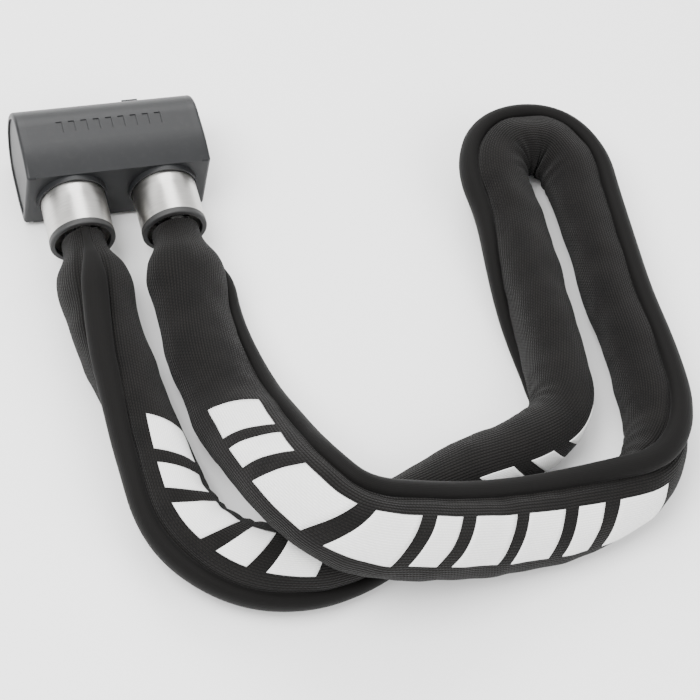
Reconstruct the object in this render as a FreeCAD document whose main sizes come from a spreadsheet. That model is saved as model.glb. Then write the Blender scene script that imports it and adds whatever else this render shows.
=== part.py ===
import FreeCAD, Part
import math
import os
import re

import Sketcher

# Chain lock: a lock body with two steel ferrules on its chain face, and a square-link chain in a
# fabric sleeve between them. Millimetres, +Z up. The lock lies on the surface z = 0. The origin is
# the middle of the flat that the body rests on, and the body's length runs along X. Depths count
# from the chain face towards +Y, and the ferrules and the chain leave that face towards -Y.
# At rest the free end is pushed home and the deadbolt is drawn back.

# ---------------------------------------------------------------- driving dimensions
SIZES = [
    # alias, value, what it is
    ("body_length", 80.0, "lock body, left end to right end"),
    ("body_depth", 44.0, "lock body, chain face to back"),
    ("body_height", 36.0, "lock body, bottom to top"),
    ("face_height", 31.0, "height of the chain face"),
    ("shoulder_depth", 16.0, "from the chain face to where the top turns flat"),
    ("cover_wall", 2.0, "wall of the outer cover"),
    ("cap_thickness", 4.0, "end cap"),
    ("cap_edge", 1.4, "rounding of an end cap's outer edge"),
    ("cap_rim", 2.6, "rim round the recess in an end cap"),
    ("cap_recess", 0.7, "depth of that recess"),
    ("block_gap", 0.2, "play between the cover and the hardened block"),
    ("dowel_radius", 1.5, "dowel between a cap and the block"),
    ("dowel_length", 6.0, "dowel, whole length"),
    ("dowel_grip", 2.2, "depth of a dowel in its end cap"),
    ("mark_count", 9, "bars of the mark pressed into the top"),
    ("mark_pitch", 5.4, "from bar to bar"),
    ("mark_width", 2.6, "one bar, along the body"),
    ("mark_length", 6.0, "one bar, across the body"),
    ("mark_depth", 0.4, "depth of the bars"),
    ("mark_place", 24.0, "bars, from the chain face"),
    ("bore_spacing", 40.0, "between the two ferrule axes"),
    ("bore_play", 0.35, "play between a ferrule and its bore"),
    ("bezel_wall", 0.8, "wall of the raised collar round a bore"),
    ("bezel_height", 2.4, "how far that collar stands out"),
    ("ferrule_radius", 14.0, "ferrule, outside"),
    ("ferrule_wall", 1.6, "ferrule wall"),
    ("ferrule_reach", 22.0, "ferrule outside the chain face"),
    ("ferrule_insert", 7.5, "ferrule inside the body"),
    ("ring_length", 2.6, "black ring at the ferrule's mouth"),
    ("ring_wall", 2.1, "wall of that ring"),
    ("ring_edge", 0.7, "rounding of the ring"),
    ("shank_radius", 7.0, "shank of each end fitting"),
    ("shank_depth", 17.6, "shank inside the body"),
    ("shank_play", 0.2, "play between a shank and its bore"),
    ("shank_tip", 2.0, "chamfer on the shank's tip"),
    ("base_back", 2.0, "base disc's inner face, in front of the chain face"),
    ("base_thickness", 5.0, "base disc of an end fitting"),
    ("neck_radius", 3.6, "shank at the bottom of its groove"),
    ("bolt_thickness", 5.0, "deadbolt, along the shank"),
    ("bolt_height", 7.0, "deadbolt, up and down"),
    ("bolt_place", 9.2, "deadbolt, from the chain face"),
    ("bolt_play", 0.25, "play round the deadbolt"),
    ("bolt_tail", 9.0, "deadbolt behind the cylinder axis"),
    ("cam_throw", 2.6, "eccentric pin, off the cylinder axis"),
    ("cam_pin_radius", 1.6, "eccentric pin"),
    ("cam_slot_play", 0.25, "play of that pin in the deadbolt's slot"),
    ("cam_radius", 6.4, "tail cam disc"),
    ("cam_thickness", 2.2, "tail cam disc"),
    ("detent_radius", 1.5, "detent ball"),
    ("detent_place", 6.0, "detent, behind the cylinder axis"),
    ("spring_wire", 0.5, "detent spring wire"),
    ("spring_length", 5.0, "detent spring"),
    ("spring_turns", 5, "detent spring turns"),
    ("housing_radius", 9.0, "cylinder housing"),
    ("housing_wall", 2.0, "cylinder housing wall"),
    ("housing_lip", 1.8, "lip at the key end of the housing"),
    ("key_hole", 4.5, "radius of the hole in that lip"),
    ("cylinder_back", 36.4, "key end of the cylinder, from the chain face"),
    ("core_play", 0.1, "play of the core in its housing"),
    ("core_wall", 1.4, "wall of the core"),
    ("plate_thickness", 1.5, "anti-drill plate"),
    ("disc_count", 7, "detainer discs"),
    ("disc_thickness", 1.2, "one disc"),
    ("spacer_thickness", 0.6, "one spacer ring"),
    ("disc_play", 0.08, "play round and between the discs"),
    ("keyway_width", 2.4, "keyway"),
    ("keyway_height", 7.0, "keyway"),
    ("sidebar_width", 1.6, "sidebar"),
    ("lock_pin_radius", 1.2, "pins that hold the cylinder in"),
    ("lock_pin_place", 27.0, "those pins, from the chain face"),
    ("captive_pin_radius", 1.9, "pin that holds the captive end in"),
    ("captive_pin_place", 11.5, "that pin, from the chain face"),
    ("hatch_thickness", 1.1, "dust cover plate"),
    ("hatch_play", 0.3, "play on each side of that plate"),
    ("hatch_half_angle", 27.0, "dust cover, half its arc"),
    ("hatch_left", 8.0, "dust cover's edge, left of the keyway"),
    ("hatch_right", 18.0, "dust cover's edge, right of the keyway"),
    ("hatch_travel", 14.0, "dust cover's slide"),
    ("window_radius", 5.5, "keyway window in the cover"),
    ("knob_place", 14.5, "knob, right of the keyway"),
    ("knob_length", 7.0, "knob, along the slide"),
    ("knob_height", 10.0, "knob, across the slide"),
    ("knob_rise", 2.6, "knob above the cover"),
    ("knob_play", 0.5, "play round the knob in its slot"),
    ("clevis_pin_radius", 2.5, "cross pin in an end fitting"),
    ("clevis_pin_play", 0.3, "play between that pin and its link"),
    ("lug_thickness", 3.4, "one lug of an end fitting"),
    ("lug_width", 9.0, "lug, across"),
    ("lug_play", 0.4, "play between a lug and its link"),
    ("link_wire", 5.7, "side of the square chain wire"),
    ("link_gap", 8.7, "inside width of a link"),
    ("link_pitch", 26.0, "chain pitch as it lies, at most"),
    ("link_clear", 0.9, "half the play between two hooked links"),
    ("link_edge", 1.4, "rounding of the square wire"),
    ("sleeve_radius", 14.6, "sleeve, outside"),
    ("sleeve_wall", 1.2, "sleeve fabric"),
    ("sleeve_lift", 0.2, "sleeve above the surface"),
    ("crossing_gap", 0.6, "between the two layers where the sleeve crosses itself"),
    ("free_travel", 18.0, "straight pull that frees the free end"),
]

# Lengths that follow from the sizes above.
DERIVED = [
    ("block_inset", "cover_wall + block_gap"),
    ("bezel_radius", "ferrule_radius + bore_play + bezel_wall"),
    ("bolt_stroke", "2 * cam_throw * sin(45)"),
    ("bolt_reach", "bore_spacing / 2 - shank_radius - 0.9"),
    ("cam_front", "bolt_place + bolt_thickness + bolt_play + 0.1"),
    ("housing_front", "cam_front + cam_thickness + 0.1"),
    ("housing_bore", "housing_radius - housing_wall"),
    ("core_radius", "housing_bore - core_play"),
    ("plate_front", "cylinder_back - housing_lip - plate_thickness - 0.1"),
    ("core_front", "housing_front + 0.1"),
    ("core_length", "plate_front - 0.1 - core_front"),
    ("stack_front", "core_front + 1.5"),
    ("disc_pitch", "disc_thickness + spacer_thickness + 2 * disc_play"),
    ("stack_length", "disc_count * disc_pitch + disc_play"),
    ("disc_radius", "core_radius - core_wall - disc_play"),
    ("link_inside", "link_pitch + 2 * link_clear"),
    ("pin_setback", "0.5 + link_wire + clevis_pin_play + clevis_pin_radius"),
    ("lug_length", "pin_setback + clevis_pin_radius + 2"),
    ("pin_span", "link_wire + 2 * lug_play + 2 * lug_thickness"),
    ("pin_depth", "base_back + base_thickness + pin_setback"),
    ("mouth", "ferrule_reach + ring_length"),
    ("detent_bottom", "body_height / 2 - bolt_height / 2 + 0.3 - 2 * detent_radius - spring_length"),
    ("upright_bottom", "body_height / 4 - 1"),
    ("upright_length", "body_height / 2 + 2"),
    ("hatch_radius", "body_height / 2 - cover_wall - hatch_play"),
    ("hatch_centre", "body_depth - body_height / 2"),
    ("hatch_half", "hatch_radius * sin(hatch_half_angle)"),
    ("rest_depth", "(shoulder_depth + hatch_centre) / 2"),
]

# Runs between route points at whose middle one sleeve span ends and the next begins.
SPAN_ENDS = [2, 5, 9, 12, 15, 20, 24, 27, 30, 33]

# How far the links swing out in a bend, as a share of the bend's own depth over one link.
SWING = 0.25

# Chain links that follow the free end, and the share of its travel that each makes.
LINK_FOLLOW = {1: 1.0, 2: 2.0 / 3.0, 3: 1.0 / 3.0}

# Chain links in one piece file beyond those.
LINK_GROUP = 3

doc = FreeCAD.newDocument("chain_lock")
sheet = doc.addObject("Spreadsheet::Sheet", "Sizes")
for row, (alias, value, note) in enumerate(SIZES, start=1):
    sheet.set("A%d" % row, alias)
    sheet.set("B%d" % row, "%g" % value)
    sheet.set("C%d" % row, note)
    sheet.setAlias("B%d" % row, alias)
doc.recompute()

ALIASES = {alias for alias, value, note in SIZES}
FOLLOWERS = {name for name, text in DERIVED}
NODES = []
derived = doc.addObject("App::VarSet", "Derived")


# ---------------------------------------------------------------- small helpers
def size(name):
    """A driving size from the sheet, or a length that follows from them."""
    if name in FOLLOWERS:
        return getattr(derived, name)
    return float(sheet.get(name))


def full_name(match):
    """The name that an expression needs for a word of a formula."""
    word = match[0]
    if word in ALIASES:
        return "Sizes." + word
    if word in FOLLOWERS:
        return "Derived." + word
    return word


def bind(item, path, text):
    """Bind a property to a formula of the named sizes."""
    item.setExpression(path, re.sub(r"[a-z_]+", full_name, text))


for name, text in DERIVED:
    derived.addProperty("App::PropertyFloat", name)
    bind(derived, name, text)
doc.recompute()


def place(item, x, depth, z):
    """Bind an object's base point: x, depth behind the chain face, height."""
    bind(item, "Placement.Base.x", x)
    bind(item, "Placement.Base.y", "(%s) - rest_depth" % depth)
    bind(item, "Placement.Base.z", z)


def cylinder(name, radius, length, x, y, z, along="y"):
    """A cylinder from the point x, y, z, along +X, +Y or +Z."""
    item = doc.addObject("Part::Cylinder", name)
    turns = {"x": (FreeCAD.Vector(0, 1, 0), 90), "y": (FreeCAD.Vector(1, 0, 0), -90),
             "z": (FreeCAD.Vector(0, 0, 1), 0)}
    item.Placement.Rotation = FreeCAD.Rotation(*turns[along])
    bind(item, "Radius", radius)
    bind(item, "Height", length)
    place(item, x, y, z)
    return item


def block(name, length, width, height, x, y, z):
    """A box from its lowest corner."""
    item = doc.addObject("Part::Box", name)
    bind(item, "Length", length)
    bind(item, "Width", width)
    bind(item, "Height", height)
    place(item, x, y, z)
    return item


def cut(name, base, tools):
    """The base without the tools."""
    item = doc.addObject("Part::Cut", name)
    item.Base = base
    if len(tools) > 1:
        item.Tool = fuse(name + "_tools", tools)
    else:
        item.Tool = tools[0]
    return item


def fuse(name, shapes):
    """One solid of several shapes."""
    item = doc.addObject("Part::MultiFuse", name)
    item.Shapes = shapes
    item.Refine = True
    return item


def common(name, shapes):
    """What several shapes share."""
    item = doc.addObject("Part::MultiCommon", name)
    item.Shapes = shapes
    return item


def group(name, shapes):
    """Separate solids kept as one piece list."""
    item = doc.addObject("Part::Compound", name)
    item.Links = shapes
    return item


def piece(label, item):
    """Name a finished piece: its label is its file."""
    item.Label = label
    NODES.append(item)
    return item


def raw_piece(label, shape):
    """A piece whose shape is worked out from the sheet's values in code."""
    item = doc.addObject("Part::Feature", label)
    item.Shape = shape
    return piece(label, item)


def new_body(name):
    return doc.addObject("PartDesign::Body", name)


def origin_plane(body, role):
    """One of a body's own three base planes."""
    for feature in body.Origin.OriginFeatures:
        if feature.Role == role:
            return feature
    raise ValueError(role)


def sketch_on(body, role, name):
    """An empty sketch on one of the body's own base planes."""
    sketch = body.newObject("Sketcher::SketchObject", name)
    sketch.AttachmentSupport = [(origin_plane(body, role), "")]
    sketch.MapMode = "FlatFace"
    return sketch


def pad(body, sketch, length, name):
    """Pad a sketch by a bound length."""
    feature = body.newObject("PartDesign::Pad", name)
    feature.Profile = sketch
    bind(feature, "Length", length)
    return feature


# ---------------------------------------------------------------- the lock body's section
def section_points(inset):
    """Corner points of the body's section, moved inwards by the inset."""
    height = size("body_height") / 2
    face = size("face_height") / 2
    shoulder = size("shoulder_depth")
    drop = height - face
    radius = (shoulder ** 2 + drop ** 2) / (2 * drop)
    face_half = height - radius + math.sqrt((radius - inset) ** 2 - (shoulder - inset) ** 2)
    return {
        "front": inset, "shoulder": shoulder, "back": size("body_depth") - height,
        "middle": height, "face_half": face_half, "half": height - inset, "arc": radius - inset,
    }


def section_sketch(body, inset, start, name):
    """The body's section: a flat chain face, two slightly bulged sides and a round back."""
    sketch = sketch_on(body, "YZ_Plane", name)
    bind(sketch, "AttachmentOffset.Base.x", "-rest_depth")
    bind(sketch, "AttachmentOffset.Base.z", start)
    p = section_points(size(inset) if inset else 0.0)
    front, shoulder, back, mid = p["front"], p["shoulder"], p["back"], p["middle"]

    def at(y, z):
        return FreeCAD.Vector(y, z, 0)

    top, low = mid + p["half"], mid - p["half"]
    face_top, face_low = mid + p["face_half"], mid - p["face_half"]
    rise = math.atan2(face_top - (top - p["arc"]), front - shoulder)
    normal = FreeCAD.Vector(0, 0, 1)
    top_circle = Part.Circle(at(shoulder, top - p["arc"]), normal, p["arc"])
    low_circle = Part.Circle(at(shoulder, low + p["arc"]), normal, p["arc"])
    back_circle = Part.Circle(at(back, mid), normal, p["half"])
    sketch.addGeometry([
        Part.LineSegment(at(front, face_low), at(front, face_top)),
        Part.ArcOfCircle(top_circle, math.pi / 2, rise),
        Part.LineSegment(at(shoulder, top), at(back, top)),
        Part.ArcOfCircle(back_circle, -math.pi / 2, math.pi / 2),
        Part.LineSegment(at(back, low), at(shoulder, low)),
        Part.ArcOfCircle(low_circle, -rise, -math.pi / 2),
    ], False)
    sketch.addConstraint([
        Sketcher.Constraint("Coincident", 0, 2, 1, 2),
        Sketcher.Constraint("Tangent", 1, 1, 2, 1),
        Sketcher.Constraint("Tangent", 2, 2, 3, 2),
        Sketcher.Constraint("Tangent", 3, 1, 4, 1),
        Sketcher.Constraint("Tangent", 4, 2, 5, 2),
        Sketcher.Constraint("Coincident", 5, 1, 0, 1),
        Sketcher.Constraint("Vertical", 0),
        Sketcher.Constraint("Horizontal", 2),
        Sketcher.Constraint("Horizontal", 4),
    ])
    named = [
        ("front", Sketcher.Constraint("DistanceX", -1, 1, 0, 1, front), "%s" if inset else None),
        ("face_low", Sketcher.Constraint("DistanceY", -1, 1, 0, 1, face_low), None),
        ("face_top", Sketcher.Constraint("DistanceY", -1, 1, 0, 2, face_top), None),
        ("top", Sketcher.Constraint("DistanceY", -1, 1, 2, 1, top),
         "body_height - %s" if inset else "body_height"),
        ("shoulder_top", Sketcher.Constraint("DistanceX", -1, 1, 2, 1, shoulder), "shoulder_depth"),
        ("shoulder_low", Sketcher.Constraint("DistanceX", -1, 1, 4, 2, shoulder), "shoulder_depth"),
        ("back_y", Sketcher.Constraint("DistanceX", -1, 1, 3, 3, back), "body_depth - body_height / 2"),
        ("back_z", Sketcher.Constraint("DistanceY", -1, 1, 3, 3, mid), "body_height / 2"),
    ]
    for label, constraint, text in named:
        index = sketch.addConstraint(constraint)
        if text is None:
            continue
        sketch.renameConstraint(index, label)
        bind(sketch, "Constraints." + label, text % inset if "%s" in text else text)
    return sketch


def section_prism(name, inset, start, length):
    """The section, moved inwards by the inset, from x = start over a length along X."""
    body = new_body(name)
    sketch = section_sketch(body, inset, start, name + "_section")
    pad(body, sketch, length, name + "_pad")
    return body


SIDES = {"free": "bore_spacing / 2", "fixed": "-bore_spacing / 2"}
MID = "body_height / 2"


# ---------------------------------------------------------------- cover, caps and block
def make_cover():
    """Outer cover with two ferrule holes, the keyway window, the knob slot and the pressed mark."""
    length = "body_length - 2 * cap_thickness"
    start = "cap_thickness - body_length / 2"
    outer = section_prism("cover_outside", None, start, length)
    inner = section_prism("cover_inside", "cover_wall", start, length)
    tools = [inner]
    for side, x in SIDES.items():
        tools.append(cylinder("cover_hole_" + side, "bezel_radius + 0.05", "3 * cover_wall",
                              x, "-cover_wall", MID))
    window_start = "body_depth - 3 * cover_wall"
    tools.append(cylinder("cover_window", "window_radius", "6 * cover_wall", "0", window_start, MID))
    tools.append(block("cover_slot", "knob_length + 2 * knob_play + hatch_travel", "6 * cover_wall",
                       "knob_height + 2 * knob_play", "knob_place - knob_length / 2 - knob_play",
                       window_start, MID + " - knob_height / 2 - knob_play"))
    for index in range(int(size("mark_count"))):
        offset = "(%d - (mark_count - 1) / 2) * mark_pitch - mark_width / 2" % index
        tools.append(block("mark_%d" % (index + 1), "mark_width", "mark_length", "2 * mark_depth",
                           offset, "mark_place - mark_length / 2", "body_height - mark_depth"))
    piece("body_cover", cut("cover", outer, tools))


def dowel_places(side):
    """Name and place of each dowel of one end cap."""
    start = "cap_thickness - body_length / 2 - dowel_grip"
    if side == "right":
        start = "body_length / 2 - cap_thickness - dowel_length + dowel_grip"
    low = "body_height / 4"
    return [("dowel_%s_front" % side, start, "shoulder_depth * 0.75", low),
            ("dowel_%s_back" % side, start, "hatch_centre", low)]


def on_cap_rim(edge, outer_x):
    """Whether an edge is one of a cap's outer face, or a corner of its chain face along X."""
    if all(abs(vertex.Point.x - outer_x) < 1e-6 for vertex in edge.Vertexes):
        return True
    front = -size("rest_depth")
    in_front = all(abs(vertex.Point.y - front) < 1e-6 for vertex in edge.Vertexes)
    return in_front and abs(edge.tangentAt(edge.FirstParameter).x) > 0.9


def make_caps():
    """End caps with a rounded outer edge and a shallow recess, and the dowels that hold them."""
    dowels = []
    for side, sign in (("left", -1), ("right", 1)):
        start = "-body_length / 2" if sign < 0 else "body_length / 2 - cap_thickness"
        body = section_prism("cap_" + side, None, start, "cap_thickness")
        doc.recompute()
        blank = body.Tip
        outer_x = sign * size("body_length") / 2
        edges = ["Edge%d" % (i + 1) for i, edge in enumerate(blank.Shape.Edges) if on_cap_rim(edge, outer_x)]
        fillet = body.newObject("PartDesign::Fillet", "cap_edge_" + side)
        fillet.Base = (blank, edges)
        bind(fillet, "Radius", "min(cap_edge; cap_thickness * 0.4)")
        body.Tip = fillet
        recess_start = start if sign < 0 else "body_length / 2 - cap_recess"
        recess = section_prism("cap_recess_" + side, "cap_rim", recess_start, "cap_recess")
        tools = [recess]
        for name, x, y, z in dowel_places(side):
            dowels.append(cylinder(name, "dowel_radius", "dowel_length", x, y, z, "x"))
            tools.append(cylinder(name + "_hole", "dowel_radius + 0.02", "dowel_length + 0.2",
                                  x + " - 0.1", y, z, "x"))
        piece("end_cap_" + side, cut("cap_finished_" + side, body, tools))
    piece("cap_dowels", group("dowels", dowels))


def make_block():
    """Hardened block with every bore, channel and pocket that the lock's works need."""
    start = "cap_thickness - body_length / 2 + block_gap"
    solid = section_prism("block_blank", "block_inset", start,
                          "body_length - 2 * cap_thickness - 2 * block_gap")
    tools = []
    for side, x in SIDES.items():
        tools.append(cylinder("ferrule_bore_" + side, "ferrule_radius + bore_play",
                              "ferrule_insert + 1", x, "-0.5", MID))
        tools.append(cylinder("shank_bore_" + side, "shank_radius + shank_play",
                              "shank_depth + 1.5", x, "-0.5", MID))
    bolt_end = "bore_spacing / 2 - shank_radius + 1"
    tools.append(block("bolt_channel", "bolt_tail + bolt_play + bolt_stroke + %s" % bolt_end,
                       "bolt_thickness + 2 * bolt_play", "bolt_height + 2 * bolt_play",
                       "-bolt_tail - bolt_play", "bolt_place - bolt_play",
                       MID + " - bolt_height / 2 - bolt_play"))
    tools.append(cylinder("cam_room", "cam_radius + 0.3", "cam_thickness + 1", "0", "cam_front - 0.3", MID))
    tools.append(cylinder("cam_pin_room", "cam_throw + cam_pin_radius + 0.3",
                          "bolt_thickness + 2 * bolt_play + 0.6", "0", "bolt_place - bolt_play - 0.5", MID))
    tools.append(cylinder("housing_bore", "housing_radius + 0.05", "body_depth - housing_front",
                          "0", "housing_front", MID))
    tools.append(cylinder("detent_bore", "detent_radius + 0.1",
                          MID + " - bolt_height / 2 - detent_bottom",
                          "-detent_place", "bolt_place + bolt_thickness / 2", "detent_bottom", "z"))
    tools.append(hatch_solid("hatch_pocket", "hatch_play", "hatch_play + 1", "0.8",
                             "-hatch_left - 0.6", "hatch_left + hatch_right + hatch_travel + 1.2"))
    for name, x, y, radius in pin_places():
        tools.append(cylinder(name + "_hole", radius + " + 0.02", "upright_length",
                              x, y, "upright_bottom", "z"))
    for side in ("left", "right"):
        for name, x, y, z in dowel_places(side):
            tools.append(cylinder(name + "_bore", "dowel_radius + 0.02", "dowel_length + 0.2",
                                  x + " - 0.1", y, z, "x"))
    piece("lock_block", cut("block_finished", solid, tools))


def pin_places():
    """Name, x, y and radius of each upright pin that holds a piece in the block."""
    groove = "housing_radius"
    return [
        ("cylinder_pin_left", "-" + groove, "lock_pin_place", "lock_pin_radius"),
        ("cylinder_pin_right", groove, "lock_pin_place", "lock_pin_radius"),
        ("captive_pin", "-bore_spacing / 2 - shank_radius + 0.4", "captive_pin_place", "captive_pin_radius"),
    ]


def make_pins():
    """Pins that lock the cylinder and the captive shank into the block."""
    pins = []
    for name, x, y, radius in pin_places():
        pins.append(cylinder(name, radius, "upright_length", x, y, "upright_bottom", "z"))
    piece("cylinder_pins", group("cylinder_pin_pair", pins[:2]))
    piece("captive_shank_pin", pins[2])


def make_bezels():
    """Raised collar round each bore of the chain face."""
    for side, x in SIDES.items():
        outside = cylinder("bezel_outside_" + side, "ferrule_radius + bore_play + bezel_wall",
                           "bezel_height + cover_wall", x, "-bezel_height", MID)
        inside = cylinder("bezel_inside_" + side, "ferrule_radius + bore_play",
                          "bezel_height + cover_wall + 2", x, "-bezel_height - 1", MID)
        piece("bore_bezel_" + side, cut("bezel_" + side, outside, [inside]))


# ---------------------------------------------------------------- dust cover
def hatch_solid(name, below, above, widen, start, length):
    """An arc-shaped plate under the round back of the cover, grown by its plays."""
    outer = cylinder(name + "_outer", "hatch_radius + " + above, length, start, "hatch_centre", MID, "x")
    inner = cylinder(name + "_inner", "hatch_radius - hatch_thickness - " + below,
                     length + " + 2", start + " - 1", "hatch_centre", MID, "x")
    window = block(name + "_window", length, "body_height", "2 * (hatch_half + %s)" % widen,
                   start, "hatch_centre + 2", "%s - hatch_half - %s" % (MID, widen))
    return cut(name, common(name + "_arc", [outer, window]), [inner])


def make_hatch():
    """Sliding dust cover over the keyway, with the knob that stands out through its slot."""
    plate = hatch_solid("hatch_plate", "0", "0", "0", "-hatch_left", "hatch_left + hatch_right")
    rise = "body_height / 2 + knob_rise"
    outer = cylinder("knob_outer", rise, "knob_length",
                     "knob_place - knob_length / 2", "hatch_centre", MID, "x")
    upright = block("knob_blank", "knob_length", "body_height", "knob_height",
                    "knob_place - knob_length / 2", "hatch_centre + 2", MID + " - knob_height / 2")
    stem = cut("knob_stem", common("knob_block", [outer, upright]),
               [cylinder("knob_core", "hatch_radius - 0.3", "knob_length + 2",
                         "knob_place - knob_length / 2 - 1", "hatch_centre", MID, "x")])
    piece("dust_cover", fuse("hatch", [plate, stem]))


# ---------------------------------------------------------------- cylinder, cam and deadbolt
def keyway(name, start, length):
    """The slot that the key passes through."""
    return block(name, "keyway_width", length, "keyway_height", "-keyway_width / 2", start,
                 MID + " - keyway_height / 2")


def make_cylinder():
    """Housing, core, anti-drill plate, detainer discs, spacers and sidebar of the lock cylinder."""
    housing = cylinder("housing_blank", "housing_radius", "cylinder_back - housing_front",
                       "0", "housing_front", MID)
    tools = [
        cylinder("housing_room", "housing_bore", "cylinder_back - housing_front - housing_lip",
                 "0", "housing_front", MID),
        cylinder("housing_mouth", "key_hole", "3 * housing_lip", "0", "cylinder_back - 2 * housing_lip", MID),
        block("housing_groove", "sidebar_width + 0.3", "stack_length", "housing_wall / 2 + 1.5",
              "-sidebar_width / 2 - 0.15", "stack_front", MID + " + housing_bore - 1.5"),
    ]
    for name, x, y, radius in pin_places()[:2]:
        tools.append(cylinder(name + "_groove", radius + " + 0.02", "upright_length",
                              x, y, "upright_bottom", "z"))
    piece("cylinder_housing", cut("housing", housing, tools))

    core = cylinder("core_blank", "core_radius", "core_length", "0", "core_front", MID)
    piece("cylinder_core", cut("core", core, [
        cylinder("core_room", "core_radius - core_wall", "core_length", "0", "stack_front - 0.1", MID),
        block("core_slot", "sidebar_width + 0.2", "stack_length", "core_wall + 2",
              "-sidebar_width / 2 - 0.1", "stack_front - 0.1", MID + " + core_radius - core_wall - 0.5"),
    ]))

    plate = cylinder("plate_blank", "core_radius - 0.2", "plate_thickness", "0", "plate_front", MID)
    piece("anti_drill_plate", cut("plate", plate, [
        keyway("plate_keyway", "plate_front - 1", "plate_thickness + 2")]))

    discs = []
    spacers = []
    for index in range(int(size("disc_count"))):
        front = "stack_front + disc_play + %d * disc_pitch" % index
        blank = cylinder("disc_blank_%d" % index, "disc_radius", "disc_thickness", "0", front, MID)
        notch = cylinder("disc_notch_%d" % index, "sidebar_width / 2 + 0.1", "disc_thickness + 1",
                         "0", front + " - 0.5", MID + " + disc_radius")
        way = keyway("disc_keyway_%d" % index, front + " - 0.5", "disc_thickness + 1")
        discs.append(cut("disc_%d" % index, blank, [notch, way]))
        after = front + " + disc_thickness + disc_play"
        ring = cylinder("spacer_blank_%d" % index, "disc_radius - 0.6", "spacer_thickness", "0", after, MID)
        hole = cylinder("spacer_hole_%d" % index, "keyway_height / 2 + 0.3", "spacer_thickness + 1",
                        "0", after + " - 0.5", MID)
        spacers.append(cut("spacer_%d" % index, ring, [hole]))
    piece("detainer_discs", group("disc_stack", discs))
    piece("disc_spacers", group("spacer_stack", spacers))
    piece("sidebar", block("sidebar_bar", "sidebar_width", "stack_length - 0.6", "core_wall - 0.1",
                           "-sidebar_width / 2", "stack_front + 0.3", MID + " + core_radius - core_wall"))


def make_cam():
    """Tail cam with its eccentric pin, drawn back at rest."""
    disc = cylinder("cam_disc", "cam_radius", "cam_thickness", "0", "cam_front", MID)
    reach = "bolt_thickness + 0.4"
    pin = cylinder("cam_pin", "cam_pin_radius", reach + " + 0.5", "-cam_throw * sin(45)",
                   "bolt_place + bolt_play - 0.2", MID + " + cam_throw * cos(45)")
    piece("tail_cam", fuse("cam", [disc, pin]))


def make_bolt():
    """Deadbolt with the upright slot that the eccentric pin drives, and the track of the detent."""
    bar = block("bolt_bar", "bolt_tail + bolt_reach", "bolt_thickness", "bolt_height",
                "-bolt_tail", "bolt_place", MID + " - bolt_height / 2")
    low = "cam_throw * cos(45) - cam_pin_radius - 2 * cam_slot_play"
    slot = block("bolt_slot", "2 * cam_pin_radius + 2 * cam_slot_play", "bolt_thickness + 2", "bolt_height",
                 "-cam_throw * sin(45) - cam_pin_radius - cam_slot_play", "bolt_place - 1",
                 "%s + %s" % (MID, low))
    track = cylinder("bolt_track", "detent_radius", "bolt_stroke + 4 * detent_radius",
                     "-detent_place - bolt_stroke - 2 * detent_radius", "bolt_place + bolt_thickness / 2",
                     MID + " - bolt_height / 2 - detent_radius + 0.5", "x")
    piece("deadbolt", cut("bolt", bar, [slot, track]))


def make_detent():
    """Ball and spring that hold the deadbolt where the key left it."""
    ball = doc.addObject("Part::Sphere", "detent_ball_solid")
    bind(ball, "Radius", "detent_radius")
    centre_z = MID + " - bolt_height / 2 - detent_radius + 0.4"
    place(ball, "-detent_place", "bolt_place + bolt_thickness / 2", centre_z)
    piece("detent_ball", ball)
    doc.recompute()
    wire = size("spring_wire") / 2
    ring = size("detent_radius") - wire - 0.05
    helix = Part.makeHelix((size("spring_length") - 2 * wire) / size("spring_turns"),
                           size("spring_length") - 2 * wire, ring)
    profile = Part.Wire(Part.makeCircle(wire, FreeCAD.Vector(ring, 0, 0), FreeCAD.Vector(0, 1, 0)))
    spring = Part.Wire(helix).makePipeShell([profile], True, True)
    base = ball.Placement.Base
    spring.translate(FreeCAD.Vector(base.x, base.y, size("detent_bottom") + wire))
    raw_piece("detent_spring", spring)


# ---------------------------------------------------------------- ferrules and end fittings
def make_ferrules():
    """Steel ferrule and black mouth ring at each end of the chain."""
    for side, x in SIDES.items():
        tube = cylinder("ferrule_tube_" + side, "ferrule_radius", "ferrule_reach + ferrule_insert",
                        x, "-ferrule_reach", MID)
        inner = cylinder("ferrule_hole_" + side, "ferrule_radius - ferrule_wall",
                         "ferrule_reach + ferrule_insert + 2", x, "-ferrule_reach - 1", MID)
        piece("ferrule_" + side, cut("ferrule_part_" + side, tube, [inner]))
        blank = cylinder("ring_blank_" + side, "ferrule_radius + 0.15", "ring_length", x,
                         "-ferrule_reach - ring_length", MID)
        hole = cylinder("ring_hole_" + side, "ferrule_radius + 0.15 - ring_wall", "ring_length + 2", x,
                        "-ferrule_reach - ring_length - 1", MID)
        rough = cut("ring_rough_" + side, blank, [hole])
        doc.recompute()
        rounded = doc.addObject("Part::Fillet", "ring_" + side)
        rounded.Base = rough
        mouth = -size("mouth") - size("rest_depth")
        rounded.Edges = [(index + 1, size("ring_edge"), size("ring_edge"))
                         for index, edge in enumerate(rough.Shape.Edges)
                         if edge.Curve.TypeId == "Part::GeomCircle"
                         and abs(edge.Curve.Center.y - mouth) < 1e-6
                         and edge.Curve.Radius > size("ferrule_radius")]
        piece("mouth_ring_" + side, rounded)


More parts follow.
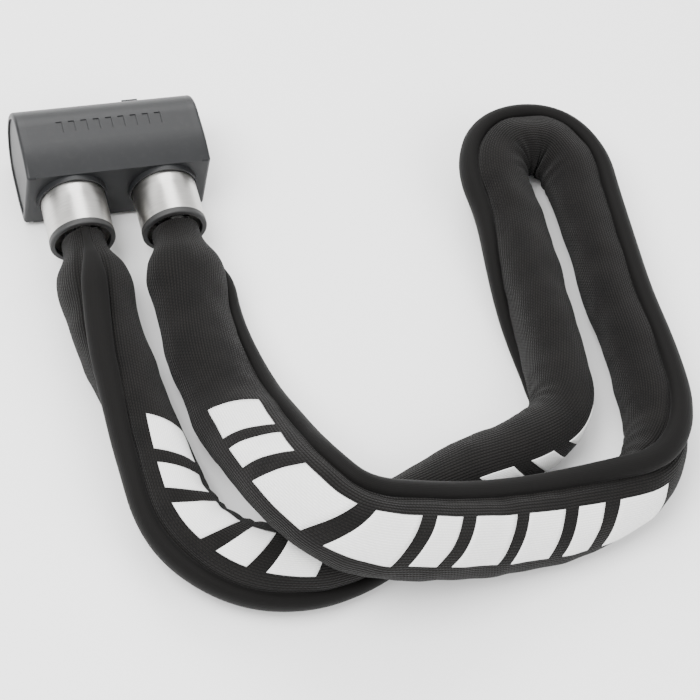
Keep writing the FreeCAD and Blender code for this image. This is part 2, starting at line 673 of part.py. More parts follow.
def make_fittings(upright_last):
    """Turned end fittings: grooved shank, base disc and two lugs, each with its cross pin."""
    for side, x in SIDES.items():
        upright = side == "free" or upright_last
        shank = cylinder("shank_" + side, "shank_radius", "shank_depth + base_back - shank_tip",
                         x, "-base_back", MID)
        tip = doc.addObject("Part::Cone", "shank_tip_" + side)
        tip.Placement.Rotation = FreeCAD.Rotation(FreeCAD.Vector(1, 0, 0), -90)
        bind(tip, "Radius1", "shank_radius")
        bind(tip, "Radius2", "shank_radius - shank_tip")
        bind(tip, "Height", "shank_tip")
        place(tip, x, "shank_depth - shank_tip", MID)
        base = cylinder("base_" + side, "ferrule_radius - ferrule_wall - 0.05", "base_thickness",
                        x, "-base_back - base_thickness", MID)
        lugs = []
        for sign in ("-1", "1"):
            across = "%s * (link_wire / 2 + lug_play + lug_thickness / 2) - lug_thickness / 2" % sign
            flat = ("lug_thickness", "lug_width") if upright else ("lug_width", "lug_thickness")
            low_x = "%s + %s" % (x, across) if upright else "%s - lug_width / 2" % x
            low_z = MID + " - lug_width / 2" if upright else "%s + %s" % (MID, across)
            name = "lug_%s_%s" % (side, "a" if sign == "1" else "b")
            lugs.append(block(name, flat[0], "lug_length", flat[1],
                              low_x, "-base_back - base_thickness - lug_length", low_z))
        axis = "x" if upright else "z"
        pin_x = x + " - pin_span / 2" if upright else x
        pin_z = MID if upright else MID + " - pin_span / 2"
        holes = [cylinder("pin_hole_" + side, "clevis_pin_radius + 0.02", "pin_span",
                          pin_x, "-pin_depth", pin_z, axis)]
        groove_y = ("bolt_place - bolt_play - 0.15", "bolt_thickness + 2 * bolt_play + 0.3")
        if side == "fixed":
            groove_y = ("captive_pin_place - captive_pin_radius - 0.15", "2 * captive_pin_radius + 0.3")
        outer = cylinder("groove_outer_" + side, "shank_radius + 1", groove_y[1], x, groove_y[0], MID)
        neck = cylinder("groove_neck_" + side, "neck_radius", groove_y[1] + " + 2",
                        x, groove_y[0] + " - 1", MID)
        holes.append(cut("groove_" + side, outer, [neck]))
        label = "locking_shank" if side == "free" else "captive_shank"
        blank = fuse("fitting_blank_" + side, [shank, tip, base] + lugs)
        piece(label, cut("fitting_" + side, blank, holes))
        pin = cylinder("cross_pin_" + side, "clevis_pin_radius", "pin_span", pin_x, "-pin_depth", pin_z, axis)
        piece("clevis_pin_" + side, pin)


# ---------------------------------------------------------------- the chain's route
# Where the sleeved chain lies, as chosen points: x, y from the chain face, and the share of the way
# from lying on the surface (0) to lying on top of another layer (1). The ferrules give the two ends.
ROUTE = [
    (18.5, -84.0, 0.0), (22.0, -113.0, 0.08), (27.0, -144.0, 0.58), (32.0, -171.0, 1.0),
    (54.0, -196.0, 1.0), (83.0, -199.5, 0.66), (111.0, -196.0, 0.22), (139.0, -190.0, 0.0),
    (166.0, -186.0, 0.0), (190.0, -174.0, 0.0), (202.0, -150.0, 0.0), (204.0, -120.0, 0.0),
    (203.0, -90.0, 0.0), (206.5, -61.0, 0.0), (209.5, -34.0, 0.0), (210.5, -7.0, 0.0),
    (190.0, 5.5, 0.0), (169.5, -7.0, 0.0), (171.5, -34.0, 0.0), (174.5, -61.0, 0.0),
    (169.5, -88.0, 0.0), (167.5, -115.0, 0.0), (161.0, -141.0, 0.0), (139.0, -154.0, 0.0),
    (112.0, -161.0, 0.0), (84.0, -172.0, 0.0), (58.0, -185.0, 0.0), (32.0, -190.0, 0.0),
    (8.0, -182.0, 0.0), (-8.0, -161.0, 0.0), (-12.5, -132.0, 0.0), (-14.0, -104.0, 0.0),
    (-19.0, -78.0, 0.0),
]

# The straight first run out of each ferrule ends this far from the chain face.
STRAIGHT_END = -50.0


def route_points():
    """The route's points in order, from the free ferrule's mouth to the fixed one's."""
    half = size("bore_spacing") / 2
    middle = size("body_height") / 2
    lying = size("sleeve_radius") + size("sleeve_lift")
    rise = 2 * size("sleeve_radius") + size("crossing_gap")
    chosen = [(x, y, lying + share * rise) for x, y, share in ROUTE]
    start = [(half, -size("mouth"), middle), (half, STRAIGHT_END, middle)]
    finish = [(-half, STRAIGHT_END, middle), (-half, -size("mouth"), middle)]
    return [FreeCAD.Vector(x, y - size("rest_depth"), z) for x, y, z in start + chosen + finish]


def corner(points, index):
    """The arc round one point of the route: its two ends, its middle and its radius."""
    before, here, after = points[index - 1:index + 2]
    back = before.sub(here)
    forth = after.sub(here)
    reach = 0.45 * min(back.Length, forth.Length)
    turn = math.pi - back.getAngle(forth)
    radius = reach / math.tan(turn / 2)
    back.normalize()
    forth.normalize()
    inward = back.add(forth)
    inward.normalize()
    middle = here.add(inward.multiply(radius / math.cos(turn / 2) - radius))
    return here.add(back * reach), middle, here.add(forth * reach), radius


def route_edges(points):
    """Straight runs joined by tangent arcs, as one list of edges for each run."""
    corners = {index: corner(points, index) for index in range(1, len(points) - 1)}
    runs = []
    for index in range(len(points) - 1):
        start = corners[index][2] if index in corners else points[index]
        finish = corners[index + 1][0] if index + 1 in corners else points[index + 1]
        middle = (start + finish) * 0.5
        first = Part.LineSegment(start, middle).toShape()
        second = Part.LineSegment(middle, finish).toShape()
        arc = None
        if index + 1 in corners:
            bend = corners[index + 1]
            arc = Part.Arc(bend[0], bend[1], bend[2]).toShape()
        runs.append((first, second, arc))
    radii = [corners[index][3] for index in sorted(corners)]
    return runs, radii


def sleeve_span(edges, radius):
    """A tube of one radius along a chain of edges."""
    wire = Part.Wire(edges)
    start = edges[0].Vertexes[0].Point
    circle = Part.makeCircle(radius, start, edges[0].tangentAt(edges[0].FirstParameter))
    return wire.makePipeShell([Part.Wire(circle)], True, False)


def make_sleeve(runs):
    """The sleeve, as spans that meet face to face in the middle of a straight run."""
    outer = size("sleeve_radius")
    inner = outer - size("sleeve_wall")
    section = math.pi * (outer ** 2 - inner ** 2)
    spans = [[]]
    for index, (first, second, arc) in enumerate(runs):
        spans[-1].append(first)
        if index in SPAN_ENDS:
            spans.append([])
        spans[-1].append(second)
        if arc:
            spans[-1].append(arc)
    for number, edges in enumerate(spans, start=1):
        tube = sleeve_span(edges, outer).cut(sleeve_span(edges, inner))
        length = sum(edge.Length for edge in edges)
        label = "sleeve_free_end" if number == 1 else "sleeve_%02d" % number
        raw_piece(label, tube.Solids[0])
        print("%s: length %.1f, volume over section times length %.4f"
              % (label, length, tube.Volume / (section * length)))


# ---------------------------------------------------------------- the chain
def make_link():
    """One link: a square-wire ring with straight sides and round ends, lying in the XY plane."""
    body = new_body("link_pattern")
    sketch = sketch_on(body, "XY_Plane", "link_outline")
    bind(sketch, "AttachmentOffset.Base.z", "-link_wire / 2")
    straight = (size("link_inside") - size("link_gap")) / 2
    radii = [("inner", size("link_gap") / 2, "link_gap / 2"),
             ("outer", size("link_gap") / 2 + size("link_wire"), "link_gap / 2 + link_wire")]
    normal = FreeCAD.Vector(0, 0, 1)
    for order, (name, radius, text) in enumerate(radii):
        first = 4 * order
        right = Part.Circle(FreeCAD.Vector(straight, 0, 0), normal, radius)
        left = Part.Circle(FreeCAD.Vector(-straight, 0, 0), normal, radius)
        sketch.addGeometry([
            Part.LineSegment(FreeCAD.Vector(straight, radius, 0), FreeCAD.Vector(-straight, radius, 0)),
            Part.ArcOfCircle(left, math.pi / 2, 3 * math.pi / 2),
            Part.LineSegment(FreeCAD.Vector(-straight, -radius, 0), FreeCAD.Vector(straight, -radius, 0)),
            Part.ArcOfCircle(right, -math.pi / 2, math.pi / 2),
        ], False)
        sketch.addConstraint([
            Sketcher.Constraint("Tangent", first, 2, first + 1, 1),
            Sketcher.Constraint("Tangent", first + 1, 2, first + 2, 1),
            Sketcher.Constraint("Tangent", first + 2, 2, first + 3, 1),
            Sketcher.Constraint("Tangent", first + 3, 2, first, 1),
            Sketcher.Constraint("Symmetric", first + 1, 3, first + 3, 3, -1, 1),
            Sketcher.Constraint("PointOnObject", first + 3, 3, -1),
            Sketcher.Constraint("Equal", first + 1, first + 3),
        ])
        index = sketch.addConstraint(Sketcher.Constraint("Radius", first + 3, radius))
        sketch.renameConstraint(index, name + "_radius")
        bind(sketch, "Constraints.%s_radius" % name, text)
        index = sketch.addConstraint(Sketcher.Constraint("DistanceX", -1, 1, first + 3, 3, straight))
        sketch.renameConstraint(index, name + "_straight")
        bind(sketch, "Constraints.%s_straight" % name, "(link_inside - link_gap) / 2")
    solid = pad(body, sketch, "link_wire", "link_pad")
    doc.recompute()
    edges = ["Edge%d" % (i + 1) for i, edge in enumerate(solid.Shape.Edges)
             if abs(edge.Vertexes[0].Point.z - edge.Vertexes[-1].Point.z) < 1e-6]
    rounding = body.newObject("PartDesign::Fillet", "link_rounding")
    rounding.Base = (solid, edges)
    bind(rounding, "Radius", "link_edge")
    body.Tip = rounding
    doc.recompute()
    return body


class ChainLine:
    """Lays the links along the route, each hooked through the last one with an even play."""

    def __init__(self, runs):
        """Measure the route and stretch it to the cross pins' faces at both ends."""
        self.edges = [edge for run in runs for edge in run if edge]
        self.lead = size("mouth") - size("pin_depth") + size("clevis_pin_radius") + size("clevis_pin_play")
        self.starts = [0.0]
        for edge in self.edges:
            self.starts.append(self.starts[-1] + edge.Length)
        self.length = self.starts[-1] + 2 * self.lead

    def on_route(self, along):
        """The point of the route at a length along it, straight on beyond its two ends."""
        along -= self.lead
        if along <= 0:
            first = self.edges[0]
            return first.Vertexes[0].Point + first.tangentAt(first.FirstParameter) * along
        if along >= self.starts[-1]:
            last = self.edges[-1]
            return last.Vertexes[-1].Point + last.tangentAt(last.LastParameter) * (along - self.starts[-1])
        index = 0
        while self.starts[index + 1] < along:
            index += 1
        edge = self.edges[index]
        return edge.valueAt(edge.getParameterByLength(along - self.starts[index]))

    def hook(self, along):
        """The route, swung out a little in each bend so that the links' middles stay near it."""
        reach = size("link_pitch") / 2
        ahead = self.on_route(along + reach)
        behind = self.on_route(along - reach)
        return self.on_route(along) * (1 + 2 * SWING) - (ahead + behind) * SWING

    def next_hook(self, here, along, pitch):
        """The length along the route beyond which a hook is one pitch from a point."""
        low, high = along + pitch * 0.6, along + pitch * 1.5
        for _ in range(30):
            middle = (low + high) / 2
            if self.hook(middle).distanceToPoint(here) < pitch:
                low = middle
            else:
                high = middle
        return (low + high) / 2

    def lay(self, pitch, count):
        """Middle and direction of each link at one pitch, and the length along the route that they reach.

        Each wire's middle stays level with the other link's eye: the step from one crown to the
        crown hooked in it is square to the one link's width and to the other link's height.
        """
        play = size("link_inside") - pitch
        crown = (size("link_inside") + size("link_wire")) / 2
        step = size("link_wire") + play
        along = play / 2 + pitch
        direction = FreeCAD.Vector(0, -1, 0)
        middle = self.on_route(play / 2) + direction * (pitch / 2)
        links = [(middle, direction)]
        while len(links) < count or count == 0 and along < self.length - play / 2:
            upright = len(links) % 2 == 1
            last_crown = middle + direction * crown
            last_side, last_top = link_sides(direction)
            fresh = direction
            for _ in range(6):
                side, top = link_sides(fresh)
                across = last_side.cross(top) if not upright else side.cross(last_top)
                if across.dot(direction) < 0:
                    across = across * -1
                across.normalize()
                start = last_crown - across * step + fresh * (crown - pitch / 2)
                reached = self.next_hook(start, along, pitch)
                fresh = self.hook(reached).sub(start)
                fresh.normalize()
            middle = start + fresh * (pitch / 2)
            direction = fresh
            along = reached
            links.append((middle, direction))
        return links, along

    def fit(self):
        """The fewest links that reach from pin to pin, and the pitch at which they lie."""
        links, reached = self.lay(size("link_pitch"), 0)
        low, high = 0.9 * size("link_pitch"), size("link_pitch")
        for _ in range(25):
            pitch = (low + high) / 2
            reached = self.lay(pitch, len(links))[1]
            if reached > self.length - (size("link_inside") - pitch) / 2:
                high = pitch
            else:
                low = pitch
        return self.lay(pitch, len(links))[0], pitch


def link_sides(along):
    """The level and the rising direction square to a link's length."""
    side = FreeCAD.Vector(0, 0, 1).cross(along)
    side.normalize()
    return side, along.cross(side)


def link_placement(middle, along, upright):
    """Placement of a link that lies flat or stands on its side."""
    side, top = link_sides(along)
    normal = side if upright else top
    third = normal.cross(along)
    matrix = FreeCAD.Matrix(along.x, third.x, normal.x, middle.x, along.y, third.y, normal.y, middle.y,
                            along.z, third.z, normal.z, middle.z, 0, 0, 0, 1)
    return FreeCAD.Placement(matrix)


def make_chain(places):
    """The links, every second one standing: those that follow the free end alone, the rest in groups."""
    pattern = make_link().Shape.Solids[0]
    links = []
    for index, (middle, along) in enumerate(places):
        link = pattern.copy()
        link.Placement = link_placement(middle, along, index % 2 == 0)
        links.append(link)
    for number in LINK_FOLLOW:
        raw_piece("chain_link_%02d" % number, links[number - 1])
    for first in range(len(LINK_FOLLOW) + 1, len(links) + 1, LINK_GROUP):
        last = min(first + LINK_GROUP - 1, len(links))
        raw_piece("chain_links_%02d_%02d" % (first, last), Part.makeCompound(links[first - 1:last]))


# ---------------------------------------------------------------- build, check and write
def check():
    """Stop if any object failed or any piece is missing, empty or not valid."""
    for item in doc.Objects:
        if "Invalid" in item.State or "Error" in item.State:
            raise RuntimeError("%s failed: %s" % (item.Name, item.State))
    for item in NODES:
        if item.Shape.isNull() or not item.Shape.isValid() or not item.Shape.Solids:
            raise RuntimeError("%s has no valid solid" % item.Label)


def write():
    """Write each piece to its own file."""
    os.makedirs("parts", exist_ok=True)
    for item in NODES:
        item.Shape.exportStep(os.path.join("parts", item.Label + ".step"))


def main():
    """Build the whole lock."""
    runs, radii = route_edges(route_points())
    places, pitch = ChainLine(runs).fit()
    upright_last = len(places) % 2 == 1
    make_cover()
    make_caps()
    make_block()
    make_pins()
    make_bezels()
    make_hatch()
    make_cylinder()
    make_cam()
    make_bolt()
    make_detent()
    make_ferrules()
    make_fittings(upright_last)
    make_sleeve(runs)
    make_chain(places)
    doc.recompute()
    check()
    write()
    print("links %d, lying pitch %.3f, route %.1f mm, smallest bend radius %.1f"
          % (len(places), pitch, sum(edge.Length for run in runs for edge in run if edge), min(radii)))
    print("bend radii", " ".join("%.0f" % radius for radius in radii))
    print("pieces %d, solids %d" % (len(NODES), sum(len(item.Shape.Solids) for item in NODES)))


main()
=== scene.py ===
"""Chain lock: a lock body with two steel ferrules, and a chain in a knitted sleeve between them."""
import logging
import math
from dataclasses import dataclass, field
from enum import Enum

import bpy
import numpy as np
from mathutils import Matrix, Vector, noise


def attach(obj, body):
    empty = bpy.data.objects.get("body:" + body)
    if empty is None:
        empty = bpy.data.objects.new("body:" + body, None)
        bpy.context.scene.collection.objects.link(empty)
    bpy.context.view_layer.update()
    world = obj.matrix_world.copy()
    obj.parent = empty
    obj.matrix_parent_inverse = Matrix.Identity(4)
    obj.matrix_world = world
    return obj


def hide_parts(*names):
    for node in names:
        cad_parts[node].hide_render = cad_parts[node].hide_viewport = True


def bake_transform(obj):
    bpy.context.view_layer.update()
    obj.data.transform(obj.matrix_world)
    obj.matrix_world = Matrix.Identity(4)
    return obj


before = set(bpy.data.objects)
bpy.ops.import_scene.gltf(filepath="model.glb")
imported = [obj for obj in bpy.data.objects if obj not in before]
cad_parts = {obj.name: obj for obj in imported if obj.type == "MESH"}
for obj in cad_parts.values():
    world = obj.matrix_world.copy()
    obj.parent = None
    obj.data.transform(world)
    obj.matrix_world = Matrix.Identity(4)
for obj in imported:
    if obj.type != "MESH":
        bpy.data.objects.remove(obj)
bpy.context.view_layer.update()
LOG = logging.getLogger("chain_lock")

# Places along Y of the chain face and of the ferrules' mouths.
FACE_Y = -0.021

# Points that the sleeve's line follows, from the free ferrule to the fixed one: x, y from the chain
# face, height, where the piping sits round the sleeve (degrees from the left side when going along
# it, upwards), and the sleeve's half width and half depth.
ROUTE: list[tuple[float, ...]] = [
    (0.0200, -0.0246, 0.0180, -30.0, 0.0112, 0.0094), (0.0200, -0.0450, 0.0174, -26.0, 0.0160, 0.0134),
    (0.0185, -0.0780, 0.0150, -6.0, 0.0160, 0.0134), (0.0220, -0.1130, 0.0168, 12.0, 0.0168, 0.0136),
    (0.0265, -0.1440, 0.0310, 22.0, 0.0172, 0.0138), (0.0315, -0.1700, 0.0440, 30.0, 0.0172, 0.0138),
    (0.0480, -0.1930, 0.0445, 36.0, 0.0170, 0.0138), (0.0830, -0.1955, 0.0330, 38.0, 0.0172, 0.0138),
    (0.1110, -0.1930, 0.0214, 40.0, 0.0172, 0.0138), (0.1390, -0.1900, 0.0150, 44.0, 0.0170, 0.0138),
    (0.1660, -0.1860, 0.0148, 56.0, 0.0164, 0.0136), (0.1900, -0.1760, 0.0148, 90.0, 0.0152, 0.0136),
    (0.2020, -0.1520, 0.0148, 126.0, 0.0142, 0.0134), (0.2045, -0.1200, 0.0148, 138.0, 0.0134, 0.0130),
    (0.2040, -0.0900, 0.0148, 142.0, 0.0130, 0.0128), (0.2060, -0.0610, 0.0148, 144.0, 0.0130, 0.0126),
    (0.2078, -0.0340, 0.0148, 146.0, 0.0132, 0.0126), (0.2090, -0.0130, 0.0148, 150.0, 0.0140, 0.0132),
    (0.2010, 0.0026, 0.0148, 154.0, 0.0142, 0.0136), (0.1806, 0.0028, 0.0148, 158.0, 0.0142, 0.0136),
    (0.1718, -0.0125, 0.0148, 162.0, 0.0140, 0.0132), (0.1735, -0.0340, 0.0148, 172.0, 0.0132, 0.0126),
    (0.1723, -0.0610, 0.0148, 188.0, 0.0140, 0.0131), (0.1690, -0.0880, 0.0148, 218.0, 0.0138, 0.0132),
    (0.1675, -0.1150, 0.0148, 246.0, 0.0142, 0.0132), (0.1620, -0.1410, 0.0148, 266.0, 0.0146, 0.0134),
    (0.1400, -0.1535, 0.0148, 284.0, 0.0150, 0.0134), (0.1120, -0.1610, 0.0148, 298.0, 0.0150, 0.0134),
    (0.0840, -0.1720, 0.0148, 312.0, 0.0150, 0.0134), (0.0580, -0.1840, 0.0148, 328.0, 0.0150, 0.0134),
    (0.0330, -0.1880, 0.0148, 340.0, 0.0150, 0.0132), (0.0104, -0.1812, 0.0148, 352.0, 0.0150, 0.0130),
    (-0.0068, -0.1625, 0.0148, 366.0, 0.0149, 0.0130), (-0.0110, -0.1320, 0.0148, 378.0, 0.0132, 0.0126),
    (-0.0135, -0.1040, 0.0148, 396.0, 0.0132, 0.0130), (-0.0185, -0.0780, 0.0150, 424.0, 0.0136, 0.0146),
    (-0.0200, -0.0450, 0.0174, 446.0, 0.0138, 0.0150), (-0.0200, -0.0246, 0.0180, 450.0, 0.0112, 0.0094),
]


# ---------------------------------------------------------------- small helpers for node trees
class Tree:
    """A node tree with short calls to add and join its nodes."""

    def __init__(self, tree: bpy.types.NodeTree) -> None:
        """Keep the tree.

        Args:
            tree: the node tree that the calls add to.
        """
        self.tree = tree

    def add(self, kind: str, **values: object) -> bpy.types.Node:
        """Add a node and set its attributes.

        Args:
            kind: the node's Blender class name.
            **values: attributes of the node.

        Returns:
            The new node.
        """
        node = self.tree.nodes.new(kind)
        for name, value in values.items():
            setattr(node, name, value)
        return node

    def join(self, source: bpy.types.NodeSocket, target: bpy.types.NodeSocket) -> None:
        """Link two sockets."""
        self.tree.links.new(source, target)

    def math(self, operation: str, first: object, second: object = None) -> bpy.types.NodeSocket:
        """A Math node fed by sockets or numbers.

        Args:
            operation: the Math node's operation.
            first: socket or number for the first value.
            second: socket or number for the second value, if it has one.

        Returns:
            The node's result.
        """
        node = self.add("ShaderNodeMath", operation=operation)
        for socket, value in zip(node.inputs, (first, second)):
            if isinstance(value, bpy.types.NodeSocket):
                self.join(value, socket)
            elif value is not None:
                socket.default_value = value
        return node.outputs[0]

    def blend(self, factor: object, low: tuple, high: tuple) -> bpy.types.NodeSocket:
        """Mix two colours.

        Args:
            factor: socket with the share of the second colour.
            low: first colour.
            high: second colour.

        Returns:
            The mixed colour.
        """
        node = self.add("ShaderNodeMix", data_type="RGBA")
        self.join(factor, node.inputs[0])
        node.inputs[6].default_value = (*low, 1.0)
        node.inputs[7].default_value = (*high, 1.0)
        return node.outputs[2]

    def span(self, value: bpy.types.NodeSocket, low: float, high: float,
             out_low: float, out_high: float) -> bpy.types.NodeSocket:
        """Map a value from one span to another.

        Args:
            value: socket with the value.
            low: start of the span it comes from.
            high: end of that span.
            out_low: what the start becomes.
            out_high: what the end becomes.

        Returns:
            The mapped value.
        """
        node = self.add("ShaderNodeMapRange")
        self.join(value, node.inputs[0])
        for index, number in enumerate((low, high, out_low, out_high), start=1):
            node.inputs[index].default_value = number
        return node.outputs[0]


def new_group(name: str, inputs: list[tuple[str, str, float]], outputs: list[tuple[str, str]]) -> tuple:
    """An empty shader group with named sockets.

    Args:
        name: the group's name.
        inputs: name, socket class and starting value of each input.
        outputs: name and socket class of each output.

    Returns:
        The group, its Tree, its input node and its output node.
    """
    group = bpy.data.node_groups.new(name, "ShaderNodeTree")
    for label, kind, value in inputs:
        socket = group.interface.new_socket(label, in_out="INPUT", socket_type=kind)
        if kind == "NodeSocketFloat":
            socket.default_value = value
    for label, kind in outputs:
        group.interface.new_socket(label, in_out="OUTPUT", socket_type=kind)
    tree = Tree(group)
    return group, tree, tree.add("NodeGroupInput"), tree.add("NodeGroupOutput")


class Effects:
    """The shader groups that several finishes share."""

    def __init__(self) -> None:
        """Build every group once."""
        self.knit = self._knit()
        self.grain = self._grain()
        self.dust = self._dust()

    def _knit(self) -> bpy.types.NodeTree:
        """Ribbed knit on a UV map in metres: across the ribs in U, along them in V.

        Returns:
            The group, with the height of the stitches and a shade mask: painted shade that darkens the valleys
            between stitches, with random tone from noise.
        """
        group, tree, inside, outside = new_group(
            "knit", [("Weave UV", "NodeSocketVector", 0.0), ("Rib pitch", "NodeSocketFloat", 0.0012),
                     ("Row pitch", "NodeSocketFloat", 0.0014)],
            [("Height", "NodeSocketFloat"), ("Shade", "NodeSocketFloat")])
        parts = tree.add("ShaderNodeSeparateXYZ")
        tree.join(inside.outputs["Weave UV"], parts.inputs[0])
        ribs = tree.math("DIVIDE", parts.outputs[0], inside.outputs["Rib pitch"])
        rows = tree.math("DIVIDE", parts.outputs[1], inside.outputs["Row pitch"])
        rib = tree.math("ABSOLUTE", tree.math("SINE", tree.math("MULTIPLY", ribs, math.pi)))
        shifted = tree.math("ADD", rows, tree.math("MULTIPLY", tree.math("FLOOR", ribs), 0.5))
        row = tree.math("ABSOLUTE", tree.math("SINE", tree.math("MULTIPLY", shifted, math.pi)))
        height = tree.math("MULTIPLY", rib, tree.math("ADD", tree.math("MULTIPLY", row, 0.45), 0.55))
        tree.join(height, outside.inputs["Height"])
        wear = tree.add("ShaderNodeTexNoise")
        wear.inputs["Scale"].default_value = 90.0
        tree.join(inside.outputs["Weave UV"], wear.inputs["Vector"])
        # Painted shade: the colour mask follows the stitch height, darker in the valleys between ribs and rows;
        # the noise only adds random tone.
        shade = tree.math("MULTIPLY", height, tree.span(wear.outputs[0], 0.3, 0.7, 0.6, 1.0))
        tree.join(shade, outside.inputs["Shade"])
        return group

    def _grain(self) -> bpy.types.NodeTree:
        """Fine grain and slow mottling on object coordinates.

        Returns:
            The group, with the grain's height and the mottling as a mask.
        """
        group, tree, inside, outside = new_group(
            "grain", [("Place", "NodeSocketVector", 0.0), ("Grain scale", "NodeSocketFloat", 2500.0),
                      ("Mottle scale", "NodeSocketFloat", 60.0)],
            [("Height", "NodeSocketFloat"), ("Mottle", "NodeSocketFloat")])
        for label, scale, detail in (("Height", "Grain scale", 2.0), ("Mottle", "Mottle scale", 4.0)):
            texture = tree.add("ShaderNodeTexNoise")
            texture.inputs["Detail"].default_value = detail
            tree.join(inside.outputs["Place"], texture.inputs["Vector"])
            tree.join(inside.outputs[scale], texture.inputs["Scale"])
            tree.join(texture.outputs[0], outside.inputs[label])
        return group

    def _dust(self) -> bpy.types.NodeTree:
        """Light dust that settles on what faces up.

        Returns:
            The group, with the dust as a mask.
        """
        group, tree, inside, outside = new_group(
            "dust", [("Place", "NodeSocketVector", 0.0), ("Amount", "NodeSocketFloat", 0.3)],
            [("Dust", "NodeSocketFloat")])
        normal = tree.add("ShaderNodeNewGeometry")
        parts = tree.add("ShaderNodeSeparateXYZ")
        tree.join(normal.outputs["Normal"], parts.inputs[0])
        texture = tree.add("ShaderNodeTexNoise")
        texture.inputs["Scale"].default_value = 350.0
        texture.inputs["Detail"].default_value = 6.0
        tree.join(inside.outputs["Place"], texture.inputs["Vector"])
        up = tree.span(parts.outputs[2], 0.2, 1.0, 0.0, 1.0)
        spots = tree.span(texture.outputs[0], 0.52, 0.75, 0.0, 1.0)
        amount = tree.math("MULTIPLY", tree.math("MULTIPLY", up, spots), inside.outputs["Amount"])
        tree.join(amount, outside.inputs["Dust"])
        return group


# ---------------------------------------------------------------- finishes
class Surface(Enum):
    """What a finish's pattern follows."""

    SOLID = "object"
    WEAVE = "weave"


@dataclass(frozen=True)
class Finish:
    """One material: two close colours, a roughness span and the strengths of its patterns."""

    name: str
    low: tuple[float, float, float]
    high: tuple[float, float, float]
    rough: tuple[float, float] = (0.45, 0.55)
    metallic: float = 0.0
    specular: float = 0.5
    bump: float = 0.1
    bump_depth: float = 0.0001
    grain_scale: float = 2500.0
    mottle_scale: float = 60.0
    dust: float = 0.0
    coat: float = 0.0
    sheen: float = 0.0
    anisotropic: float = 0.0
    stretch: tuple[float, float, float] = (1.0, 1.0, 1.0)
    rib_pitch: float = 0.0012
    row_pitch: float = 0.0014
    surface: Surface = Surface.SOLID

    def material(self, effects: Effects) -> bpy.types.Material:
        """Build the material.

        Args:
            effects: the shared shader groups.

        Returns:
            The material.
        """
        made = bpy.data.materials.new(self.name)
        made.use_nodes = True
        tree = Tree(made.node_tree)
        made.node_tree.nodes.clear()
        shader = tree.add("ShaderNodeBsdfPrincipled")
        out = tree.add("ShaderNodeOutputMaterial")
        tree.join(shader.outputs[0], out.inputs[0])
        shader.inputs["Metallic"].default_value = self.metallic
        shader.inputs["Specular IOR Level"].default_value = self.specular
        shader.inputs["Coat Weight"].default_value = self.coat
        shader.inputs["Coat Roughness"].default_value = 0.25
        shader.inputs["Sheen Weight"].default_value = self.sheen
        shader.inputs["Sheen Roughness"].default_value = 0.5
        shader.inputs["Anisotropic"].default_value = self.anisotropic
        place = tree.add("ShaderNodeTexCoord").outputs["Object"]
        mapping = tree.add("ShaderNodeMapping")
        mapping.inputs["Scale"].default_value = self.stretch
        tree.join(place, mapping.inputs["Vector"])
        grain = tree.add("ShaderNodeGroup", node_tree=effects.grain)
        tree.join(mapping.outputs[0], grain.inputs["Place"])
        grain.inputs["Grain scale"].default_value = self.grain_scale
        grain.inputs["Mottle scale"].default_value = self.mottle_scale
        height, mask = grain.outputs["Height"], grain.outputs["Mottle"]
        if self.surface is Surface.WEAVE:
            weave = tree.add("ShaderNodeUVMap", uv_map="Weave")
            knit = tree.add("ShaderNodeGroup", node_tree=effects.knit)
            tree.join(weave.outputs[0], knit.inputs["Weave UV"])
            knit.inputs["Rib pitch"].default_value = self.rib_pitch
            knit.inputs["Row pitch"].default_value = self.row_pitch
            height, mask = knit.outputs["Height"], knit.outputs["Shade"]
        # The colour follows this mask: on weave finishes it is painted shade, darker in the valleys between
        # stitches; on solid finishes it is random mottled tone.
        shade = tree.span(mask, 0.25, 0.8, 0.0, 1.0)
        colour = tree.blend(shade, self.low, self.high)
        if self.dust:
            dust = tree.add("ShaderNodeGroup", node_tree=effects.dust)
            tree.join(place, dust.inputs["Place"])
            dust.inputs["Amount"].default_value = self.dust
            mixed = tree.add("ShaderNodeMix", data_type="RGBA")
            tree.join(dust.outputs["Dust"], mixed.inputs[0])
            tree.join(colour, mixed.inputs[6])
            mixed.inputs[7].default_value = (0.30, 0.29, 0.27, 1.0)
            colour = mixed.outputs[2]
        tree.join(colour, shader.inputs["Base Color"])
        tree.join(tree.span(mask, 0.2, 0.8, *self.rough), shader.inputs["Roughness"])
        bump = tree.add("ShaderNodeBump")
        bump.inputs["Strength"].default_value = self.bump
        bump.inputs["Distance"].default_value = self.bump_depth
        tree.join(height, bump.inputs["Height"])
        tree.join(bump.outputs[0], shader.inputs["Normal"])
        return made


PLASTIC = Finish("body_plastic", (0.0105, 0.0110, 0.0118), (0.0125, 0.0130, 0.0140), rough=(0.42, 0.45),
                 bump=0.22, bump_depth=0.00006, grain_scale=2600.0, dust=0.01, specular=0.26)
CAP_PLASTIC = Finish("cap_plastic", (0.0095, 0.0100, 0.0108), (0.0115, 0.0120, 0.0130), rough=(0.40, 0.44),
                     bump=0.2, bump_depth=0.00005, grain_scale=2600.0, dust=0.01, specular=0.28)
FERRULE = Finish("ferrule_steel", (0.50, 0.49, 0.47), (0.62, 0.61, 0.59), rough=(0.26, 0.38), metallic=1.0,
                 bump=0.12, bump_depth=0.00004, grain_scale=1400.0, mottle_scale=900.0,
                 anisotropic=0.5, stretch=(0.15, 2.0, 0.15))
STEEL = Finish("hardened_steel", (0.30, 0.30, 0.31), (0.42, 0.42, 0.43), rough=(0.30, 0.45), metallic=1.0,
               bump=0.1, bump_depth=0.00004, mottle_scale=200.0)
CHAIN_STEEL = Finish("chain_steel", (0.42, 0.42, 0.41), (0.55, 0.55, 0.54), rough=(0.28, 0.42), metallic=1.0,
                     bump=0.15, bump_depth=0.00005, mottle_scale=300.0)
BRASS = Finish("cylinder_brass", (0.55, 0.40, 0.17), (0.66, 0.50, 0.23), rough=(0.25, 0.40), metallic=1.0,
               bump=0.1, bump_depth=0.00003, mottle_scale=400.0)
